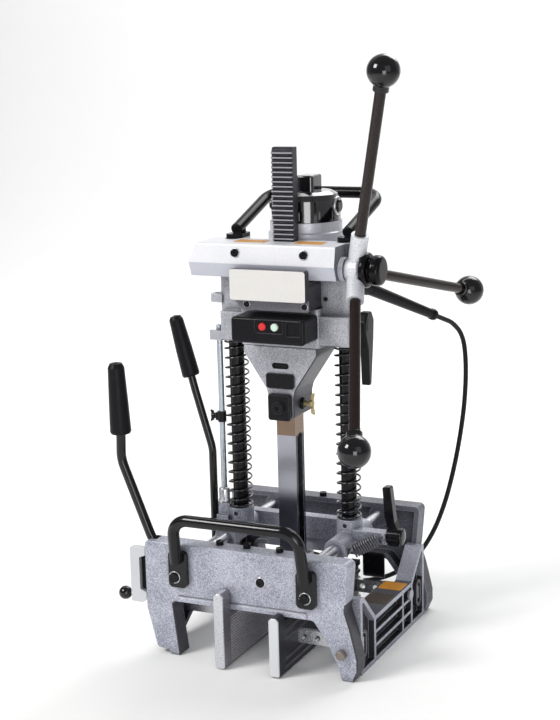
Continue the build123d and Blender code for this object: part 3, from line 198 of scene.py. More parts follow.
def finish(name, base, second, speck=2.0, bump=0.1, rough=0.5, swing=0.1, metallic=0.0, coat=0.0, shine=0.5,
           edge=None, edge_mm=1.2, stretch=(1, 1, 1), contrast=NOISE_SPAN, zones=(), shade_in_corners=0.0, fade=None):
    """Procedural finish. A fine noise of speck millimetres mixes two colours over the span of contrast,
    gives the bump and moves the roughness by swing to each side. Stretch packs that noise along an axis
    where it is over 1 and draws it out where it is under 1. A wide noise changes the tone. Each zone lays
    its own colour over a part of the piece, and fade lays one downwards between two heights; most zones
    and the fade are painted shade and light. The share shade_in_corners darkens the corners as painted
    shade, from ambient occlusion. Edges take their own colour where the rounded normal turns away from the
    face: a painted highlight, partly wear. The real grain of paint, plastic and rubber is too fine to show,
    so it is drawn coarser, at 0.7 mm or more."""
    material = bpy.data.materials.new(name)
    material.use_nodes = True
    tree = material.node_tree
    shader = tree.nodes["Principled BSDF"]
    place = add(tree, "ShaderNodeTexCoord").outputs["Object"]
    turned = add(tree, "ShaderNodeMapping", {"Vector": place, "Scale": stretch})
    fine = add(tree, "ShaderNodeTexNoise", {
        "Vector": turned.outputs["Vector"], "Scale": 1 / (speck * MM), "Detail": 4.0, "Roughness": 0.55})
    grain = fine.outputs["Fac"]
    wide = add(tree, "ShaderNodeTexNoise", {"Vector": place, "Scale": 1 / (WIDE_MM * MM), "Detail": 2.0})
    both = add(tree, "ShaderNodeMath", {0: wide.outputs["Fac"], 1: WIDE_SHARE, 2: grain},
               operation="MULTIPLY_ADD")
    low, high = (limit * (1 + WIDE_SHARE) for limit in contrast)
    share = add(tree, "ShaderNodeMapRange", {"Value": both.outputs[0], "From Min": low, "From Max": high})
    tone = add(tree, "ShaderNodeMix", {0: share.outputs[0], 6: paint_of(base), 7: paint_of(second)},
               data_type="RGBA")

    # Zones and the fade lay colours over parts of a piece; most of them are painted shade and light.
    layers = [(inside(tree, place, sides, facing), linear(over)) for over, sides, facing in zones]
    if fade is not None:
        foot, top, over = fade
        height = add(tree, "ShaderNodeSeparateXYZ", {0: place}).outputs[2]
        down = add(tree, "ShaderNodeMapRange", {
            "Value": height, "From Min": top * MM, "From Max": foot * MM})
        layers.append((down.outputs[0], linear(over)))
    # Painted shade: ambient occlusion darkens the corners.
    if shade_in_corners:
        sky = add(tree, "ShaderNodeAmbientOcclusion", {"Distance": CORNER_SHADE_REACH * MM}, samples=6)
        corner_darkening = add(tree, "ShaderNodeMapRange", {
            "Value": sky.outputs["AO"], "From Min": CORNER_SHADE_OPEN[0], "From Max": CORNER_SHADE_OPEN[1],
            "To Max": shade_in_corners})
        layers.append((corner_darkening.outputs[0], linear(CORNER_SHADE)))
    rounded = add(tree, "ShaderNodeBevel", {"Radius": edge_mm * MM}, samples=4).outputs[0]
    # Pale edges: a painted highlight, partly wear, broken up by the grain.
    if edge is not None:
        normal = add(tree, "ShaderNodeNewGeometry").outputs["Normal"]
        turn = add(tree, "ShaderNodeVectorMath", {0: rounded, 1: normal}, operation="DOT_PRODUCT")
        wear_and_highlight = add(tree, "ShaderNodeMapRange", {
            "Value": turn.outputs["Value"], "From Min": WEAR_AND_HIGHLIGHT_TURN[0], "From Max": WEAR_AND_HIGHLIGHT_TURN[1],
            "To Max": WEAR_AND_HIGHLIGHT_MOST})
        broken = add(tree, "ShaderNodeMath", {0: wear_and_highlight.outputs[0], 1: grain}, operation="MULTIPLY")
        layers.append((broken.outputs[0], linear(edge)))
    paint = tone.outputs[2]
    for cover, over in layers:
        paint = add(tree, "ShaderNodeMix", {0: cover, 6: paint, 7: over}, data_type="RGBA").outputs[2]

    gloss = add(tree, "ShaderNodeMapRange", {
        "Value": grain, "From Min": NOISE_SPAN[0], "From Max": NOISE_SPAN[1],
        "To Min": max(LEAST_ROUGH, rough - swing), "To Max": min(1.0, rough + swing)})
    relief = add(tree, "ShaderNodeBump", {
        "Height": grain, "Strength": bump, "Distance": speck / 2 * MM, "Normal": rounded})
    tree.links.new(paint, shader.inputs["Base Color"])
    tree.links.new(gloss.outputs[0], shader.inputs["Roughness"])
    tree.links.new(relief.outputs[0], shader.inputs["Normal"])
    shader.inputs["Metallic"].default_value = metallic
    shader.inputs["Specular IOR Level"].default_value = shine
    shader.inputs["Coat Weight"].default_value = coat
    shader.inputs["Coat Roughness"].default_value = COAT_ROUGH
    return material


# The look that all hammered paint shares: fine dimples, pale edges that are a painted highlight with some
# wear, and painted shade in the corners.
HAMMERED = {
    "speck": 1.5, "bump": 0.5, "rough": 0.4, "metallic": 0.2, "edge": "#F0F1F6", "edge_mm": 1.6,
    "contrast": (0.41, 0.59), "shade_in_corners": 0.75}
SPECK = "#858998"  # darker flakes of the silver paint
SHADE = "#3A3940"  # painted shade for a hollow or for a side that faces away from the light
LEG_TOP = 112  # height in millimetres up to which the right legs' outer sides take painted shade
JAW_FRONT = -199  # y of the frame in millimetres, where the jaws' bright front ends stop


def cast_finishes(colours):
    """Paint of the castings, by material slot or by node."""
    silver = colours.silver
    leg_side_shade = area(SHADE, x=(100, None), z=(None, LEG_TOP), facing=RIGHT)
    # Edge colours below are painted highlights, partly wear.
    return {
        # Hammered silver paint on castings: a mottled lavender grey with fine dimples and paler edges.
        "cast_silver": finish("hammered_silver_paint", silver, SPECK, **HAMMERED),
        # The same paint on the base, with painted shade in the hollows and on the sides that face right,
        # darker faces that look up on the rail's top, and a thin grey line across the front frame.
        "right_rail": finish("rail_paint_painted_shade_panels", silver, SPECK, **HAMMERED, zones=[
            # Painted shade on the rail's faces that look right and in its lower hollows; a darker band on
            # faces that look up.
            area("#2E2D34", x=(148, 159), facing=RIGHT),
            area(SHADE, x=(148, 159), z=(None, 63)),
            area("#464650", z=(60, 70), facing=UP)]),
        # Painted shade over the inside of the left rail.
        "left_rail": finish("rail_paint_painted_shade_inside", silver, SPECK, **HAMMERED, zones=[
            area("#2A2A30", x=(-153, None))]),
        # Painted shade on the sides of the front legs that face right.
        "front_frame": finish("frame_paint_painted_shade_sides", silver, SPECK, **HAMMERED, zones=[
            area(SHADE, x=(-135, -100), z=(None, 86), facing=RIGHT),
            leg_side_shade,
            area("#74767F", x=(-112, 90), z=(91.6, 93.4), facing=FRONT)]),
        # Neutral silver on the head, and on the nose with painted shade on its right side.
        "head_casting": finish("head_silver_paint", "#C2C3C9", "#8D8F98", **HAMMERED),
        "nose": finish("nose_silver_paint", "#C2C3C9", "#8D8F98", **HAMMERED, zones=[
            area("#44444C", x=(5, None), facing=RIGHT)]),
        # The same paint darkened as painted shade: dark on the rear frame, with more on its right leg, and a
        # little darker on the carriage.
        "rear_frame": finish("silver_paint_painted_shade", "#757681", "#4C4D57", **HAMMERED, zones=[leg_side_shade]),
        "carriage_casting": finish("carriage_silver_paint", "#B4B6C2", "#747885", **HAMMERED),
        # Brighter smooth paint on the crosshead, nearly white, with painted shade: grey on the strip that
        # leans under and dark on the right end.
        "cast_bright": finish(
            "bright_silver_paint", colours.bright, "#D4D5DA", speck=2.0, bump=0.3, rough=0.34, metallic=0.1,
            edge="#F8F8FA", edge_mm=1.6, zones=[
                area("#BFC1CC", z=(None, 561.5), facing=FRONT),
                area("#55555E", x=(90, None), facing=RIGHT)]),
        # Hub of the feed handle: the hammered silver paint made nearly white, as painted light.
        "handle_hub": finish("hub_paint_painted_light", "#EEEFF3", "#C8CAD2", **HAMMERED),
        # Grey gear cover: fine matt paint, with painted shade on its right side.
        "cast_grey": finish(
            "grey_gear_paint", colours.grey, "#5C5B63", speck=1.6, bump=0.3, rough=0.42, metallic=0.2,
            edge="#B4B3BA", contrast=(0.4, 0.6), zones=[area("#2A292E", x=(40, None), facing=RIGHT)]),
        # Motor housing: smooth paint with a soft sheen, made pale as painted light where the crosshead
        # shades it.
        "motor_silver": finish(
            "motor_paint_painted_light", "#E4E6EC", "#B4B6C0", speck=1.8, bump=0.2, rough=0.3, metallic=0.2,
            edge="#F4F4F6"),
    }


def black_finishes(colours):
    """Black plastic, rubber and painted steel, by material slot or by node."""
    # Edge colours below are painted highlights, partly wear.
    return {
        # Moulded black plastic: fine spark-eroded grain, satin.
        "black_plastic": finish(
            "moulded_black_nylon", colours.black, "#16151A", speck=0.9, bump=0.12, rough=0.3, shine=0.18,
            edge="#84838A", edge_mm=0.9),
        # Glossy motor cover: black with clear light bands.
        "motor_cover": finish(
            "polished_black_nylon", "#08070A", "#100F13", speck=3.0, bump=0.02, rough=0.1, swing=0.03,
            shine=1.0, coat=0.6, edge="#77767C", edge_mm=0.8),
        # Polished phenolic balls: deep black with a clear skin.
        "gloss_black": finish(
            "polished_phenolic", "#060507", "#0D0B0E", speck=3.0, bump=0.02, rough=0.1, swing=0.03,
            shine=0.4, coat=0.3),
        # Turned end knob: the same black, with a duller face and paler rims.
        "end_knob": finish(
            "turned_black_knob", "#070608", "#0E0C0F", speck=3.0, bump=0.02, rough=0.14, swing=0.03,
            shine=0.2, edge="#6A696F", edge_mm=0.9),
        # Painted steel tube: cool black with a crisp long highlight.
        "black_steel": finish(
            "black_painted_tube", "#0A090C", "#121115", speck=1.8, bump=0.04, rough=0.12, swing=0.03,
            shine=0.4, edge="#4A484E", edge_mm=0.7),
        # The same paint on the top handle, duller where hands have worn it.
        "top_handle": finish(
            "worn_black_tube", "#0A090C", "#121115", speck=1.8, bump=0.04, rough=0.2, swing=0.05,
            shine=0.16, edge="#4A484E", edge_mm=0.7),
        # Browned feed arms: warm black with a broad highlight.
        "handle_arms": finish(
            "browned_steel_arm", "#1A1211", "#281D1A", speck=1.8, bump=0.05, rough=0.12, swing=0.03,
            shine=0.36, edge="#6A5C56", edge_mm=0.7),
        # Moulded grips and cord sheath: dull black rubber.
        "grip_rubber": finish(
            "moulded_grip_rubber", "#121114", "#1D1C20", speck=0.8, bump=0.2, rough=0.36, shine=0.12,
            edge="#3C3B40", edge_mm=1.0),
        "cord_rubber": finish(
            "cord_sheath_rubber", "#121113", "#1D1C1F", speck=0.7, bump=0.25, rough=0.45, shine=0.2),
    }


def metal_finishes():
    """Bare and plated metal, by material slot, node or piece."""
    # Edge colours below are painted highlights, partly wear.
    return {
        # Oiled dark steel on columns and screw heads: nearly black with paler edges.
        "dark_steel": finish(
            "oiled_dark_steel", "#0C0B0E", "#17161A", speck=1.2, bump=0.04, rough=0.16, shine=0.22,
            edge="#66656C", edge_mm=0.6),
        # Oiled spring wire: the same dark steel, with small bright glints on each turn.
        "spring_wire": finish(
            "oiled_spring_wire", "#151418", "#222126", speck=0.8, bump=0.03, rough=0.14, swing=0.04,
            metallic=0.2, shine=0.7, coat=0.3),
        # Dull wire of the lock spring: grey with a soft shine.
        "lock_wire": finish(
            "dull_spring_wire", "#55545A", "#77767C", speck=0.8, bump=0.05, rough=0.3, metallic=0.7,
            edge="#C8C8CC", edge_mm=0.4),
        # Ground steel rods: bright with fine turning lines.
        "steel": finish(
            "ground_steel", "#A2A3AA", "#C6C7CC", speck=1.0, bump=0.06, rough=0.28, metallic=1.0,
            edge="#E6E6EA", edge_mm=0.6, stretch=(1, 1, 6)),
        # Chromed depth rod: cool and nearly a mirror.
        "depth_rod": finish(
            "chromed_rod", "#A4ACB6", "#C0C8D0", speck=1.2, bump=0.02, rough=0.15, swing=0.03,
            metallic=0.75),
        # Milled rack: dark steel, with a painted highlight on the tooth lands that face the front.
        "rack_steel": finish(
            "milled_rack_steel", "#232228", "#34333A", speck=0.9, bump=0.1, rough=0.34, metallic=0.3,
            edge="#C8C8CE", edge_mm=0.45, stretch=(6, 1, 1),
            zones=[area("#A2A2AA", y=(None, -26.5), facing=FRONT)]),
        # Polished tool steel: drawn along the chisel and heat-tinted under the nose. The slotted right side
        # is dark, partly the slot itself and partly painted shade, and the lower part is darker as a painted
        # change of reflection.
        "tool_steel": finish(
            "polished_tool_steel", "#94959F", "#ABACB6", speck=1.4, bump=0.04, rough=0.22, swing=0.06,
            metallic=0.9, edge="#F4F4F6", edge_mm=0.8, stretch=(4, 4, 0.3), fade=(205, 226, "#56565F"),
            zones=[area("#7E6A5C", z=(305, 340)), area("#1E1E22", z=(None, 305), facing=RIGHT)]),
        # Milled left jaw: bright at the front end, with painted shade on the toothed face and on the flanks
        # that face down, and painted light on the flanks that face up.
        "jaw_metal": finish(
            "milled_jaw_aluminium", "#C2C3C9", "#DCDDE2", speck=1.4, bump=0.1, rough=0.34, metallic=0.6,
            edge="#F4F4F6", edge_mm=0.5, stretch=(1, 0.2, 1), zones=[
                area("#8A868E", y=(JAW_FRONT, None), facing=RIGHT),
                area("#2E2B31", x=(-30, None), y=(JAW_FRONT, None), z=(None, 79), facing=DOWN),
                area("#C8C4CC", x=(-30, None), y=(JAW_FRONT, None), z=(None, 79), facing=UP)]),
        # Dark right jaw: nearly black, with a bright front end and painted light on the steps that face up.
        "jaw_dark": finish(
            "dark_jaw_aluminium", "#1C1B1F", "#2A292E", speck=1.4, bump=0.12, rough=0.36, metallic=0.4,
            edge="#B8B8BE", edge_mm=0.6, zones=[
                area("#DCDDE0", y=(None, JAW_FRONT)),
                area("#77757C", y=(JAW_FRONT, None), z=(None, 76), facing=UP)]),
        # Zinc plate: dull on the latch, bright on bars and washers.
        "latch_plate": finish(
            "dull_zinc_plate", "#BCBDC2", "#D8D9DD", speck=1.2, bump=0.1, rough=0.36, metallic=0.5,
            edge="#E8E8EC", edge_mm=0.8),
        "zinc": finish(
            "bright_zinc_plate", "#C9CBCE", "#E2E3E6", speck=1.0, bump=0.05, rough=0.28, metallic=0.8,
            edge="#F8F8FA", edge_mm=0.6),
        # Browned index pin: warm grey with a soft shine.
        "pin_steel": finish(
            "browned_pin_steel", "#7C736B", "#968C83", speck=1.5, bump=0.06, rough=0.36, metallic=0.6,
            edge="#C8BFB4", edge_mm=0.6),
        # Bronze bushes and pale brass wing screw: warm metals with bright edges.
        "bronze": finish(
            "plain_bronze", "#8C6A3C", "#A9824C", speck=1.5, bump=0.06, rough=0.36, metallic=0.9,
            edge="#CBA76A", edge_mm=0.6),
        "chisel_wing_screw": finish(
            "pale_brass", "#B0A070", "#C8BA90", speck=1.2, bump=0.06, rough=0.3, metallic=0.6,
            edge="#F0E8CC", edge_mm=0.5),
    }


def bright_finishes(colours):
    """Button caps and bare plates, by material slot or by piece."""
    # Edge colours below are painted highlights, partly wear.
    return {
        # Moulded button caps: clear colours under a thin gloss.
        "red_plastic": finish(
            "moulded_red_cap", "#C8181C", "#DA2A28", speck=0.8, bump=0.04, rough=0.3, coat=0.3,
            edge="#F07060", edge_mm=0.5),
        "pale_plastic": finish(
            "moulded_pale_cap", "#C4DCCB", "#D6E8DA", speck=0.8, bump=0.04, rough=0.3, coat=0.3,
            edge="#FFFFFF", edge_mm=0.5),
        # Enamelled plates: even colours with a soft gloss and paler edges.
        "amber": finish(
            "amber_enamel", colours.amber, "#C07C14", speck=3.0, bump=0.05, rough=0.4,
            edge="#F2C870", edge_mm=0.6),
        "umber": finish(
            "umber_enamel", "#2A1D12", "#40301A", speck=3.0, bump=0.05, rough=0.4,
            edge="#B08A4A", edge_mm=0.8),
        "plate": finish(
            "white_enamel", colours.plate, "#D2D0CC", speck=2.0, bump=0.04, rough=0.32, metallic=0.1,
            edge="#FFFFFF", edge_mm=0.5),
    }


finishes = {}  # filled by the first operator


def grid_faces(rows, columns, around):
    """Four-sided faces of a grid of points; around joins the last column to the first."""
    index = np.arange(rows * columns).reshape(rows, columns)
    right = np.roll(index, -1, axis=1) if around else index[:, 1:]
    left = index if around else index[:, :-1]
    return np.stack([left[:-1], right[:-1], right[1:], left[1:]], axis=-1).reshape(-1, 4)


def piece(name, points, body, material, around=True, closed=False, flip=False, smooth=True):
    """New piece from a grid of points (rows, columns, 3): rows run along the piece and columns round it.
    Each end row is closed by a fan to its middle, unless closed joins the last row to the first."""
    rows, columns = points.shape[:2]
    if closed:
        points = np.concatenate([points, points[:1]])
        rows += 1
    corners = points.reshape(-1, 3)
    faces = grid_faces(rows, columns, around).tolist()
    if around and not closed:
        corners = np.vstack([corners, points[0].mean(axis=0), points[-1].mean(axis=0)])
        first = np.arange(columns)
        last = first + (rows - 1) * columns
        low, high = rows * columns, rows * columns + 1
        faces += np.stack([np.roll(first, -1), first, np.full(columns, low)], axis=-1).tolist()
        faces += np.stack([last, np.roll(last, -1), np.full(columns, high)], axis=-1).tolist()
    if flip:
        faces = [face[::-1] for face in faces]
    mesh = bpy.data.meshes.new(name)
    mesh.from_pydata(corners.tolist(), [], faces)
    mesh.polygons.foreach_set("use_smooth", np.full(len(mesh.polygons), smooth))
    mesh.materials.append(material)
    thing = bpy.data.objects.new(name, mesh)
    bpy.context.scene.collection.objects.link(thing)
    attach(thing, body)
    return thing


def full_circle(sides):
    """Evenly spaced angles of a closed ring."""
    return np.linspace(0, 2 * np.pi, sides, endpoint=False)


def superellipse(angle, n):
    """Rounded square |x|^n + |y|^n = 1: x = sign(cos a) |cos a|^(2/n) and y = sign(sin a) |sin a|^(2/n)."""
    c, s = np.cos(angle), np.sin(angle)
    return np.sign(c) * np.abs(c) ** (2 / n), np.sign(s) * np.abs(s) ** (2 / n)


def along(path, radius, sides, lean):
    """Round profile carried along a path: centre + radius (cos a n + sin a b), with n across the path and
    the leaning line, and b across both."""
    way = np.gradient(path, axis=0)
    way /= np.linalg.norm(way, axis=1, keepdims=True)
    across = np.cross(way, lean)
    across /= np.linalg.norm(across, axis=1, keepdims=True)
    third = np.cross(way, across)
    angle = full_circle(sides)[None, :, None]
    ring = np.cos(angle) * across[:, None, :] + np.sin(angle) * third[:, None, :]
    return path[:, None, :] + radius * ring


def spun(start, way, outline, sides):
    """Surface of revolution: start + distance way + radius (cos a n + sin a b), with the distance and the
    radius from the rows of the outline."""
    way = np.asarray(way, float)
    way = way / np.linalg.norm(way)
    lean = UP if abs(way[2]) < 0.9 else RIGHT
    across = np.cross(lean, way)
    across /= np.linalg.norm(across)
    third = np.cross(way, across)
    angle = full_circle(sides)[:, None]
    ring = np.cos(angle) * across + np.sin(angle) * third
    return np.asarray(start) + outline[:, :1, None] * way + outline[:, 1:2, None] * ring[None]


def plate_points(centre, right, out, width, height, corner, thickness):
    """Rounded rectangle with a small bevel: a superellipse |x|^n + |y|^n = 1 at the foot, at the edge and
    drawn in on the face. A smaller corner gives a larger n, and n is 4 or more."""
    right = np.asarray(right, float)
    out = np.asarray(out, float)
    up = np.cross(out, right)
    narrow = min(width, height)
    n = max(4.0, 0.8 * narrow / corner)
    x, y = superellipse(full_circle(PLATE_SIDES), n)
    ring = (x * width / 2)[:, None] * right + (y * height / 2)[:, None] * up
    bevel = thickness / 2
    inner = 1 - 2 * bevel / narrow
    rows = [ring, ring + out * (thickness - bevel), ring * inner + out * thickness]
    return np.asarray(centre) + np.stack(rows)


class MORTISER_OT_finishes(bpy.types.Operator):
    """Procedural finishes on every solid of the frame"""
    bl_idname = "mortiser.finishes"
    bl_label = "Finishes"

    def execute(self, context):
        colours = context.scene.mortiser_colours
        finishes.update(cast_finishes(colours))
        finishes.update(black_finishes(colours))
        finishes.update(metal_finishes())
        finishes.update(bright_finishes(colours))
        for entry in frame["record"]["subparts"]:
            paint = finishes.get(entry["node"], finishes[entry["material_slot"]])
            thing = frame["nodes"][entry["node"]]
            if not thing.material_slots:
                thing.data.materials.append(paint)
            for place in thing.material_slots:
                place.material = paint
        return {"FINISHED"}


class MORTISER_OT_stage(bpy.types.Operator):
    """Camera at the photograph's view, pale floor and soft studio light"""
    bl_idname = "mortiser.stage"
    bl_label = "Stage"

    place: bpy.props.FloatVectorProperty(
        name="Place", description="Place of the camera", subtype="TRANSLATION",
        default=(0.947, -2.0785, 0.885))
    yaw: bpy.props.FloatProperty(
        name="Yaw", description="Turn to the left of straight back", subtype="ANGLE",
        default=math.radians(25.0))
    pitch: bpy.props.FloatProperty(
        name="Pitch", description="Look down from level", subtype="ANGLE", default=math.radians(11.7))
    roll: bpy.props.FloatProperty(
        name="Roll", description="Turn about the line of sight", subtype="ANGLE",
        default=math.radians(1.44))
    lens: bpy.props.FloatProperty(name="Lens", description="Focal length in millimetres", default=79.4)

    def execute(self, context):
        self.camera(context.scene)
        self.backdrop(context.scene.mortiser_colours.floor)
        white = (1.0, 1.0, 1.0)
        middle = (0, 0, 0.4)
        self.light("key", (-1.5, -1.9, 2.2), 1.0, 58, (1.0, 0.99, 0.97), middle)
        self.light("front", (1.2, -2.2, 0.45), 0.9, 13, white, (0, 0, 0.45))
        self.light("fill", (2.0, -1.6, 1.4), 1.6, 6, (0.97, 0.98, 1.0), middle)
        self.light("rim", (0.3, 1.8, 2.3), 1.4, 34, white, middle)
        self.light("wall", (-1.3, 1.2, 3.4), 2.6, 78, white, (-2.3, 3.8, 1.3))
        world = bpy.data.worlds.new("studio")
        world.use_nodes = True
        sky = world.node_tree.nodes["Background"]
        sky.inputs["Color"].default_value = (0.95, 0.96, 1.0, 1)
        sky.inputs["Strength"].default_value = 0.3
        context.scene.world = world
        return {"FINISHED"}

    def camera(self, scene):
        """Camera whose axes come from yaw and pitch, turned about the line of sight by the roll."""
        data = bpy.data.cameras.new("view")
        data.lens = self.lens
        data.sensor_width = 36.0
        camera = bpy.data.objects.new("view", data)
        scene.collection.objects.link(camera)
        level = math.cos(self.pitch)
        ahead = np.array([-math.sin(self.yaw) * level, math.cos(self.yaw) * level, -math.sin(self.pitch)])
        right = np.array([math.cos(self.yaw), math.sin(self.yaw), 0.0])
        down = np.cross(ahead, right)
        c, s = math.cos(self.roll), math.sin(self.roll)
        right, down = c * right + s * down, c * down - s * right
        turn = Matrix(np.column_stack([right, -down, -ahead]).tolist()).to_4x4()
        camera.matrix_world = Matrix.Translation(self.place) @ turn
        scene.camera = camera
        scene.view_settings.view_transform = "Standard"

    def backdrop(self, paint):
        """Floor that turns up into a wall: z = 0 up to the bend, then a quarter circle and a rise."""
        near, turn, bend, top, half_width = -4.0, 2.6, 1.2, 5.0, 10.0
        angle = np.linspace(0, 1, 40) * np.pi / 2
        y = np.concatenate([[near], turn + bend * np.sin(angle), [turn + bend]])
        z = np.concatenate([[0.0], bend - bend * np.cos(angle), [top]])
        x = np.linspace(-half_width, half_width, 3)
        points = np.stack(np.broadcast_arrays(x, y[:, None], z[:, None]), axis=-1)
        mesh = bpy.data.meshes.new("floor")
        mesh.from_pydata(points.reshape(-1, 3).tolist(), [], grid_faces(len(y), 3, False).tolist())
        mesh.polygons.foreach_set("use_smooth", np.ones(len(mesh.polygons), dtype=bool))
        # Matt studio paper: even white without a shine.
        paper = finish("studio_paper", paint, paint, speck=4.0, bump=0.0, rough=0.9, swing=0.02)
        mesh.materials.append(paper)
        thing = bpy.data.objects.new("floor", mesh)
        bpy.context.scene.collection.objects.link(thing)

    def light(self, name, place, size, power, tint, target):
        """Square soft light aimed at a target, with its size in metres and its power in watts."""
        data = bpy.data.lights.new(name, "AREA")
        data.size = size
        data.energy = power
        data.color = tint
        lamp = bpy.data.objects.new(name, data)
        bpy.context.scene.collection.objects.link(lamp)
        lamp.location = place
        lamp.visible_camera = False
        lamp.rotation_euler = (Vector(target) - Vector(place)).to_track_quat("-Z", "Y").to_euler()


COIL_RADIUS = 41.0  # millimetres to the middle of the coil's turns
COIL_LAYER = 8.1  # rise of the upper layer
COIL_PROUD = 1.02  # control points stand outside the arcs that the spline draws
COIL_STEPS = 8  # control points in a half turn
TIE_REACH = 19.5  # half width of the strap's loop across the turns
TIE_HEIGHT = 8.6  # half height of the loop
TIE_PLACE = (-43.0, 8.75)  # middle of the loop from the coil's middle, and its height
TIE_WIDTH = 10.0
TIE_THICKNESS = 1.0
TIE_SQUARE = 4  # power of the loop's superellipse
TIE_SIDES, TIE_LINES = 48, 5  # points round the loop and lines over its width


class MORTISER_OT_cord(bpy.types.Operator):
    """Mains cord from the bend guard to its tied coil on the floor behind"""
    bl_idname = "mortiser.cord"
    bl_label = "Mains cord"

    coil_middle: bpy.props.FloatVectorProperty(
        name="Coil middle", description="Middle of the coil from the chisel axis, in millimetres",
        default=(-109.5, 248.0, 4.05))
    turns: bpy.props.IntProperty(
        name="Turns per layer", description="Turns in each of the two layers", default=3)
    pitch: bpy.props.FloatProperty(
        name="Pitch of the turns", description="Distance between turns in millimetres", default=8.3)

    def coil(self):
        """Half circles of changing radius r, with w alternately 1 and -1: x = x0 - w r sin a and
        y = middle - w r cos a. The lower layer winds in, one half turn climbs and the upper layer winds
        out."""
        x0, y0, z0 = self.coil_middle
        halves = 2 * self.turns
        half = np.arange(2 * halves)
        inward = COIL_RADIUS + (self.turns - np.minimum(half, halves - 1)) * self.pitch / 2
        radius = inward + np.maximum(half - halves - 1, 0) * self.pitch / 2
        signed = np.where(half % 2 == 0, 1.0, -1.0) * radius
        start = y0 - radius[0] + np.concatenate([[0], np.cumsum(2 * signed)])
        angle = np.linspace(0, np.pi, COIL_STEPS, endpoint=False)
        x = x0 - signed[:, None] * np.sin(angle) * COIL_PROUD
        y = (start[:-1] + signed)[:, None] - signed[:, None] * np.cos(angle) * COIL_PROUD
        climb = COIL_LAYER * np.clip(half[:, None] + angle / np.pi - halves, 0, 1)
        points = np.stack([x, y, z0 + climb], axis=-1).reshape(-1, 3)
        tail = [[x0 - reach, start[-1], z0 + COIL_LAYER] for reach in (0, 14, 34, 54)]
        return np.vstack([points[1:], tail])

    def route(self):
        """Control points in millimetres: straight out of the guard, down, along the floor and round the
        coil. The fall's heights are shares of the guard's."""
        x0, y0, z0 = self.coil_middle
        front = y0 - COIL_RADIUS - self.turns * self.pitch / 2
        out = [GUARD_END + GUARD_WAY * reach for reach in (0, 24, 48)]
        fall = np.array([
            [172, 285, 0.905], [174, 294, 0.81], [172, 295, 0.68], [166, 291, 0.553], [157, 284, 0.425],
            [145, 275, 0.3], [128, 262, 0.186], [102, 248, 0.093], [64, 234, 0.029]])
        fall[:, 2] *= GUARD_END[2]
        floor = [[16, 218, z0], [x0 + 66, front, z0], [x0 + 9.5, front, z0]]
        return np.vstack([out, fall, floor, self.coil()])

    def execute(self, context):
        sizes = context.scene.mortiser_sizes
        points = (self.route() + SHIFT) * MM
        data = bpy.data.curves.new("mains_cord", "CURVE")
        data.dimensions = "3D"
        data.bevel_depth = sizes.cord_diameter / 2
        data.bevel_resolution = 4
        data.use_fill_caps = True
        line = data.splines.new("NURBS")
        line.points.add(len(points) - 1)
        line.points.foreach_set("co", np.column_stack([points, np.ones(len(points))]).ravel())
        line.order_u = 3
        line.use_endpoint_u = True
        line.resolution_u = 8
        data.materials.append(finishes["cord_rubber"])
        cord = bpy.data.objects.new("mains_cord", data)
        context.scene.collection.objects.link(cord)
        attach(cord, "carriage")
        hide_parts("cord", "cord_coil")
        tie = self.tie()
        return {"FINISHED"}

    def tie(self):
        """Strap round the coil's left side: a superellipse in the plane across the turns, carried over the
        strap's width."""
        x0, y0, _ = self.coil_middle
        across, up = superellipse(full_circle(TIE_SIDES)[:, None], TIE_SQUARE)
        width = np.linspace(-TIE_WIDTH / 2, TIE_WIDTH / 2, TIE_LINES)
        aside, height = TIE_PLACE
        points = np.stack(np.broadcast_arrays(
            x0 + aside + across * TIE_REACH, y0 + width + AXIS_Y, height + up * TIE_HEIGHT), axis=-1) * MM
        strap = piece("cord_tie", points, "carriage", finishes["cord_rubber"], around=False, closed=True)
        wall = strap.modifiers.new("thickness", "SOLIDIFY")
        wall.thickness = TIE_THICKNESS * MM
        wall.offset = -1.0
        return strap


SEAT_GAP = 0.2  # millimetres between a column spring and each seat
CLOSED_TURNS = 1.0  # closed turns at each end of a column spring
COLUMN_STEPS, COLUMN_SIDES = 40, 12  # steps in a turn and sides of the wire
LOCK_STEPS, LOCK_SIDES = 48, 10  # the same of the lock spring
LOCK_START = np.array([107.2, -44.0, 145.0])  # the lock spring's post on the carriage
LOCK_END = np.array([148.5, -15.5, 166.0])  # its post on the lever's boss
LOCK_TAIL = 9.0  # length of the wire's tail at each post
LOCK_LEAD = 0.55  # turns that a tail takes


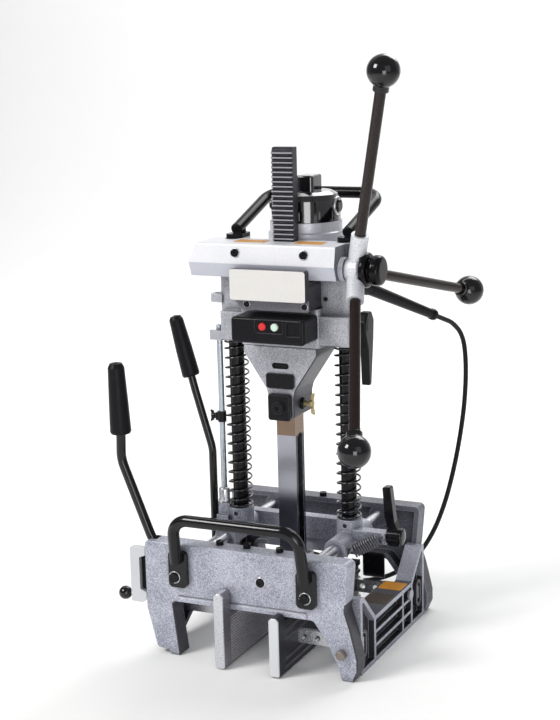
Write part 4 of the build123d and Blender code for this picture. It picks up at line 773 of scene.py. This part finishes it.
class MORTISER_OT_springs(bpy.types.Operator):
    """Column springs and the tension spring of the lock lever"""
    bl_idname = "mortiser.springs"
    bl_label = "Springs"

    low: bpy.props.FloatProperty(
        name="Lower seat", description="Height of the carriage's seat in millimetres", default=183.0)
    high: bpy.props.FloatProperty(
        name="Upper seat", description="Height of the head's seat in millimetres", default=441.0)

    def execute(self, context):
        sizes = context.scene.mortiser_sizes
        for side, name in ((-1, "left_spring"), (1, "right_spring")):
            self.column_spring(sizes, side * COLUMN_X, name)
        self.lock_spring(sizes)
        return {"FINISHED"}

    def column_spring(self, sizes, column, name):
        """Round wire along a helix r (cos a, sin a) whose rise is one wire per turn in the closed end turns
        and even between them."""
        wire = sizes.spring_wire / MM
        radius = sizes.spring_radius / MM
        total = sizes.spring_turns + 2 * CLOSED_TURNS
        turn = np.linspace(0, total, int(total * COLUMN_STEPS))
        span = self.high - self.low - wire - 2 * SEAT_GAP
        share = np.clip((turn - CLOSED_TURNS) / sizes.spring_turns, 0, 1)
        ends = np.minimum(turn, CLOSED_TURNS) + np.maximum(turn - total + CLOSED_TURNS, 0)
        rise = ends * wire + share * (span - 2 * CLOSED_TURNS * wire)
        angle = np.pi / 2 + 2 * np.pi * turn
        path = np.stack([
            column + radius * np.cos(angle), COLUMN_Y + AXIS_Y + radius * np.sin(angle),
            self.low + wire / 2 + SEAT_GAP + rise], axis=-1) * MM
        points = along(path, wire / 2 * MM, COLUMN_SIDES, UP)
        coil = piece(f"{name}_coil", points, "carriage", finishes["spring_wire"], flip=True)
        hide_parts(name)
        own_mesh(coil)

    def lock_spring(self, sizes):
        """Round wire along a close helix on the line between its two posts. A tail at each end eases from
        the line out to the turns: the radius times 1 - t^1.5, with t from 0 at the turns to 1 at the
        post."""
        whole = np.linalg.norm(LOCK_END - LOCK_START)
        line = (LOCK_END - LOCK_START) / whole
        turns = sizes.lock_turns
        turn = np.linspace(-LOCK_LEAD, turns + LOCK_LEAD, int(turns * LOCK_STEPS))
        share = np.clip(turn / turns, 0, 1)
        before = np.clip(-turn / LOCK_LEAD, 0, 1)
        after = np.clip((turn - turns) / LOCK_LEAD, 0, 1)
        distance = LOCK_TAIL + share * (whole - 2 * LOCK_TAIL) + (after - before) * LOCK_TAIL
        radius = sizes.lock_radius / MM * (1 - np.maximum(before, after) ** 1.5)
        across = np.cross(line, UP)
        across /= np.linalg.norm(across)
        third = np.cross(line, across)
        angle = 2 * np.pi * turn[:, None]
        path = LOCK_START + distance[:, None] * line + radius[:, None] * (
            np.cos(angle) * across + np.sin(angle) * third)
        points = along((path + SHIFT) * MM, sizes.lock_wire / 2, LOCK_SIDES, line)
        coil = piece("lock_spring_coil", points, "carriage", finishes["lock_wire"], flip=True)
        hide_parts("lock_spring")


class MORTISER_OT_guard(bpy.types.Operator):
    """Moulded sleeve of the cord's bend guard"""
    bl_idname = "mortiser.guard"
    bl_label = "Bend guard"

    def execute(self, context):
        """Cone with a bead: the radius falls evenly, and a flat-topped bell exp(-u^6) stands proud of it
        near the end."""
        rings = 121
        collar, short = 19.5, 1.0  # bare lengths at the root and at the end
        root_radius, end_radius = 9.2, 7.2
        bead_back, bead_half = 6.5, 5.0  # the bead's middle from the end, and half its width
        bead = context.scene.mortiser_sizes.guard_bead / MM
        t = np.linspace(0, 1, rings)
        distance = collar + t * (GUARD_LENGTH - collar - short)
        bell = np.exp(-((distance - GUARD_LENGTH + bead_back) / bead_half) ** 6)
        radius = root_radius + (end_radius - root_radius) * t + bead * bell
        outline = np.column_stack([distance, radius]) * MM
        points = spun(frame_point(*GUARD_ROOT), GUARD_WAY, outline, ROUND_SIDES)
        sleeve = piece("bend_guard_sleeve", points, "carriage", finishes["grip_rubber"])
        return {"FINISHED"}


class MORTISER_OT_plates(bpy.types.Operator):
    """Bare plates on the gear cover, the crosshead, the base and the head lock"""
    bl_idname = "mortiser.plates"
    bl_label = "Bare plates"

    def execute(self, context):
        """Each row holds a name, the body, the middle of the foot, the ways to the side and outward, the
        width, height and corner, the thickness, the finish and the slot."""
        thin = context.scene.mortiser_sizes.plate_thickness
        heavy = 3.0 * MM
        bright, black, steel = "cast_bright", "black_plastic", "black_steel"
        rows = [
            ("name_plate", "head", (0, -68, 534.6), RIGHT, FRONT, (117, 44, 1.5), thin, "plate", bright),
            ("top_strip_left", "carriage", (-46.5, -16, 590), RIGHT, UP, (47, 24, 1), thin, "amber", bright),
            ("top_strip_right", "carriage", (45.5, -16, 590), RIGHT, UP, (43, 24, 1), thin, "amber", bright),
            ("rail_plate_amber", "base", (139, 50, 69), RIGHT, UP, (36, 32, 1.5), thin, "amber", bright),
            ("rail_plate_umber", "base", (139, -6, 69), RIGHT, UP, (36, 42, 1.5), thin, "umber", bright),
            # The latch backing is a black sheet that paints the shade in the gap beside the latch plate.
            ("latch_backing_shade", "base", (-172, -148.4, 118), RIGHT, FRONT, (13, 54, 1.5), thin, black, black),
            ("lock_lever_cap", "head_lock", (124.4, 8, 472), BACK, RIGHT, (17, 17, 6), thin, black, black),
            # The rear apron is a black plate that fills a dark gap behind the base: it stands for a shaded
            # part there, partly painted shade.
            ("rear_apron_shade", "base", (78, 129, 70), RIGHT, FRONT, (36, 40, 2), heavy, steel, steel),
        ]
        for name, body, centre, side, out, size, thickness, paint, slot in rows:
            width, height, corner = np.array(size) * MM
            points = plate_points(frame_point(*centre), side, out, width, height, corner, thickness)
            thing = piece(name, points, body, finishes[paint], smooth=False)
        return {"FINISHED"}


class MORTISER_OT_caps(bpy.types.Operator):
    """Turned cap on the carriage lock and turned socket at the foot of the depth rod"""
    bl_idname = "mortiser.caps"
    bl_label = "Turned caps"

    def execute(self, context):
        """Surfaces of revolution: a low dome over the lever's pivot and a flanged sleeve round the rod."""
        dome = [(0, 12.4), (1.6, 12.4), (2.8, 11.7), (3.7, 9.6), (4.2, 6.0), (4.4, 2.0)]
        sleeve = [(0, 9.4), (3.6, 9.4), (4.6, 8.4), (20, 8.4), (22, 7.4), (22.6, 5.4)]
        rows = [
            ("carriage_lock_cap", (172.1, 0, 165), RIGHT, dome, "carriage_lock", "black_steel"),
            ("rod_socket", (-112, 0, 189), UP, sleeve, "carriage", "zinc"),
        ]
        for name, start, way, outline, body, paint in rows:
            points = spun(frame_point(*start), way, np.array(outline) * MM, ROUND_SIDES)
            thing = piece(name, points, body, finishes[paint])
        return {"FINISHED"}


class MORTISER_OT_rings(bpy.types.Operator):
    """Washers round screw heads and the brush cap, and the ring at the chisel's screw"""
    bl_idname = "mortiser.rings"
    bl_label = "Washers"

    def execute(self, context):
        """Torus: distance w sin a along the axis and radius r + w cos a from it. Each row holds a name, the
        middle, the axis, r, w, the body and the finish."""
        lean = (0, -1, 0.2)
        rows = [
            ("beam_washer", (20, -157, 128), FRONT, 7.4, 1.3, "base", "zinc"),
            ("brush_cap_ring", (51.0, 73, 634), RIGHT, 12.0, 2.0, "head", "zinc"),
            ("cover_washer_left", (-38, -56, 505), FRONT, 4.8, 0.8, "head", "zinc"),
            ("cover_washer_right", (52, -56, 505), FRONT, 4.8, 0.8, "head", "zinc"),
            # The tab washers are bright rings that also stand for the highlight on the edges of the tab
            # bolts.
            ("tab_washer_highlight_left", (-113, -164, 122), FRONT, 8.2, 0.9, "base", "zinc"),
            ("tab_washer_highlight_right", (91, -164, 116), FRONT, 8.2, 0.9, "base", "zinc"),
            ("crosshead_washer_left", (-58, -49, 577), lean, 6.6, 0.9, "carriage", "zinc"),
            ("crosshead_washer_right", (49, -49, 577), lean, 6.6, 0.9, "carriage", "zinc"),
            ("screw_boss", (22.4, 0, 352), RIGHT, 6.6, 2.2, "head", "dark_steel"),
        ]
        angle = full_circle(WASHER_SIDES)
        for name, centre, way, radius, wire, body, paint in rows:
            outline = np.column_stack([wire * np.sin(angle), radius + wire * np.cos(angle)]) * MM
            points = spun(frame_point(*centre), way, outline, ROUND_SIDES)
            ring = piece(name, points, body, finishes[paint], closed=True)
        return {"FINISHED"}


class MORTISER_PT_panel(bpy.types.Panel):
    """Sizes, colours and steps of the mortiser"""
    bl_idname = "MORTISER_PT_panel"
    bl_label = "Mortiser"
    bl_space_type = "VIEW_3D"
    bl_region_type = "UI"
    bl_category = "Mortiser"

    def draw(self, context):
        for group in (context.scene.mortiser_sizes, context.scene.mortiser_colours):
            for key in group.__annotations__:
                self.layout.prop(group, key)
        for step in steps:
            self.layout.operator(step.bl_idname)


steps = [
    MORTISER_OT_finishes, MORTISER_OT_stage, MORTISER_OT_cord, MORTISER_OT_springs, MORTISER_OT_guard,
    MORTISER_OT_plates, MORTISER_OT_caps, MORTISER_OT_rings]
classes = [MortiserSizes, MortiserColours, *steps, MORTISER_PT_panel]


def register():
    for kind in classes:
        bpy.utils.register_class(kind)
    bpy.types.Scene.mortiser_sizes = bpy.props.PointerProperty(type=MortiserSizes)
    bpy.types.Scene.mortiser_colours = bpy.props.PointerProperty(type=MortiserColours)


def unregister():
    del bpy.types.Scene.mortiser_colours
    del bpy.types.Scene.mortiser_sizes
    for kind in reversed(classes):
        bpy.utils.unregister_class(kind)


def main():
    """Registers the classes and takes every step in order."""
    register()
    for step in steps:
        group, name = step.bl_idname.split(".")
        getattr(getattr(bpy.ops, group), name)()
    bpy.context.view_layer.update()


if __name__ == "__main__":
    main()
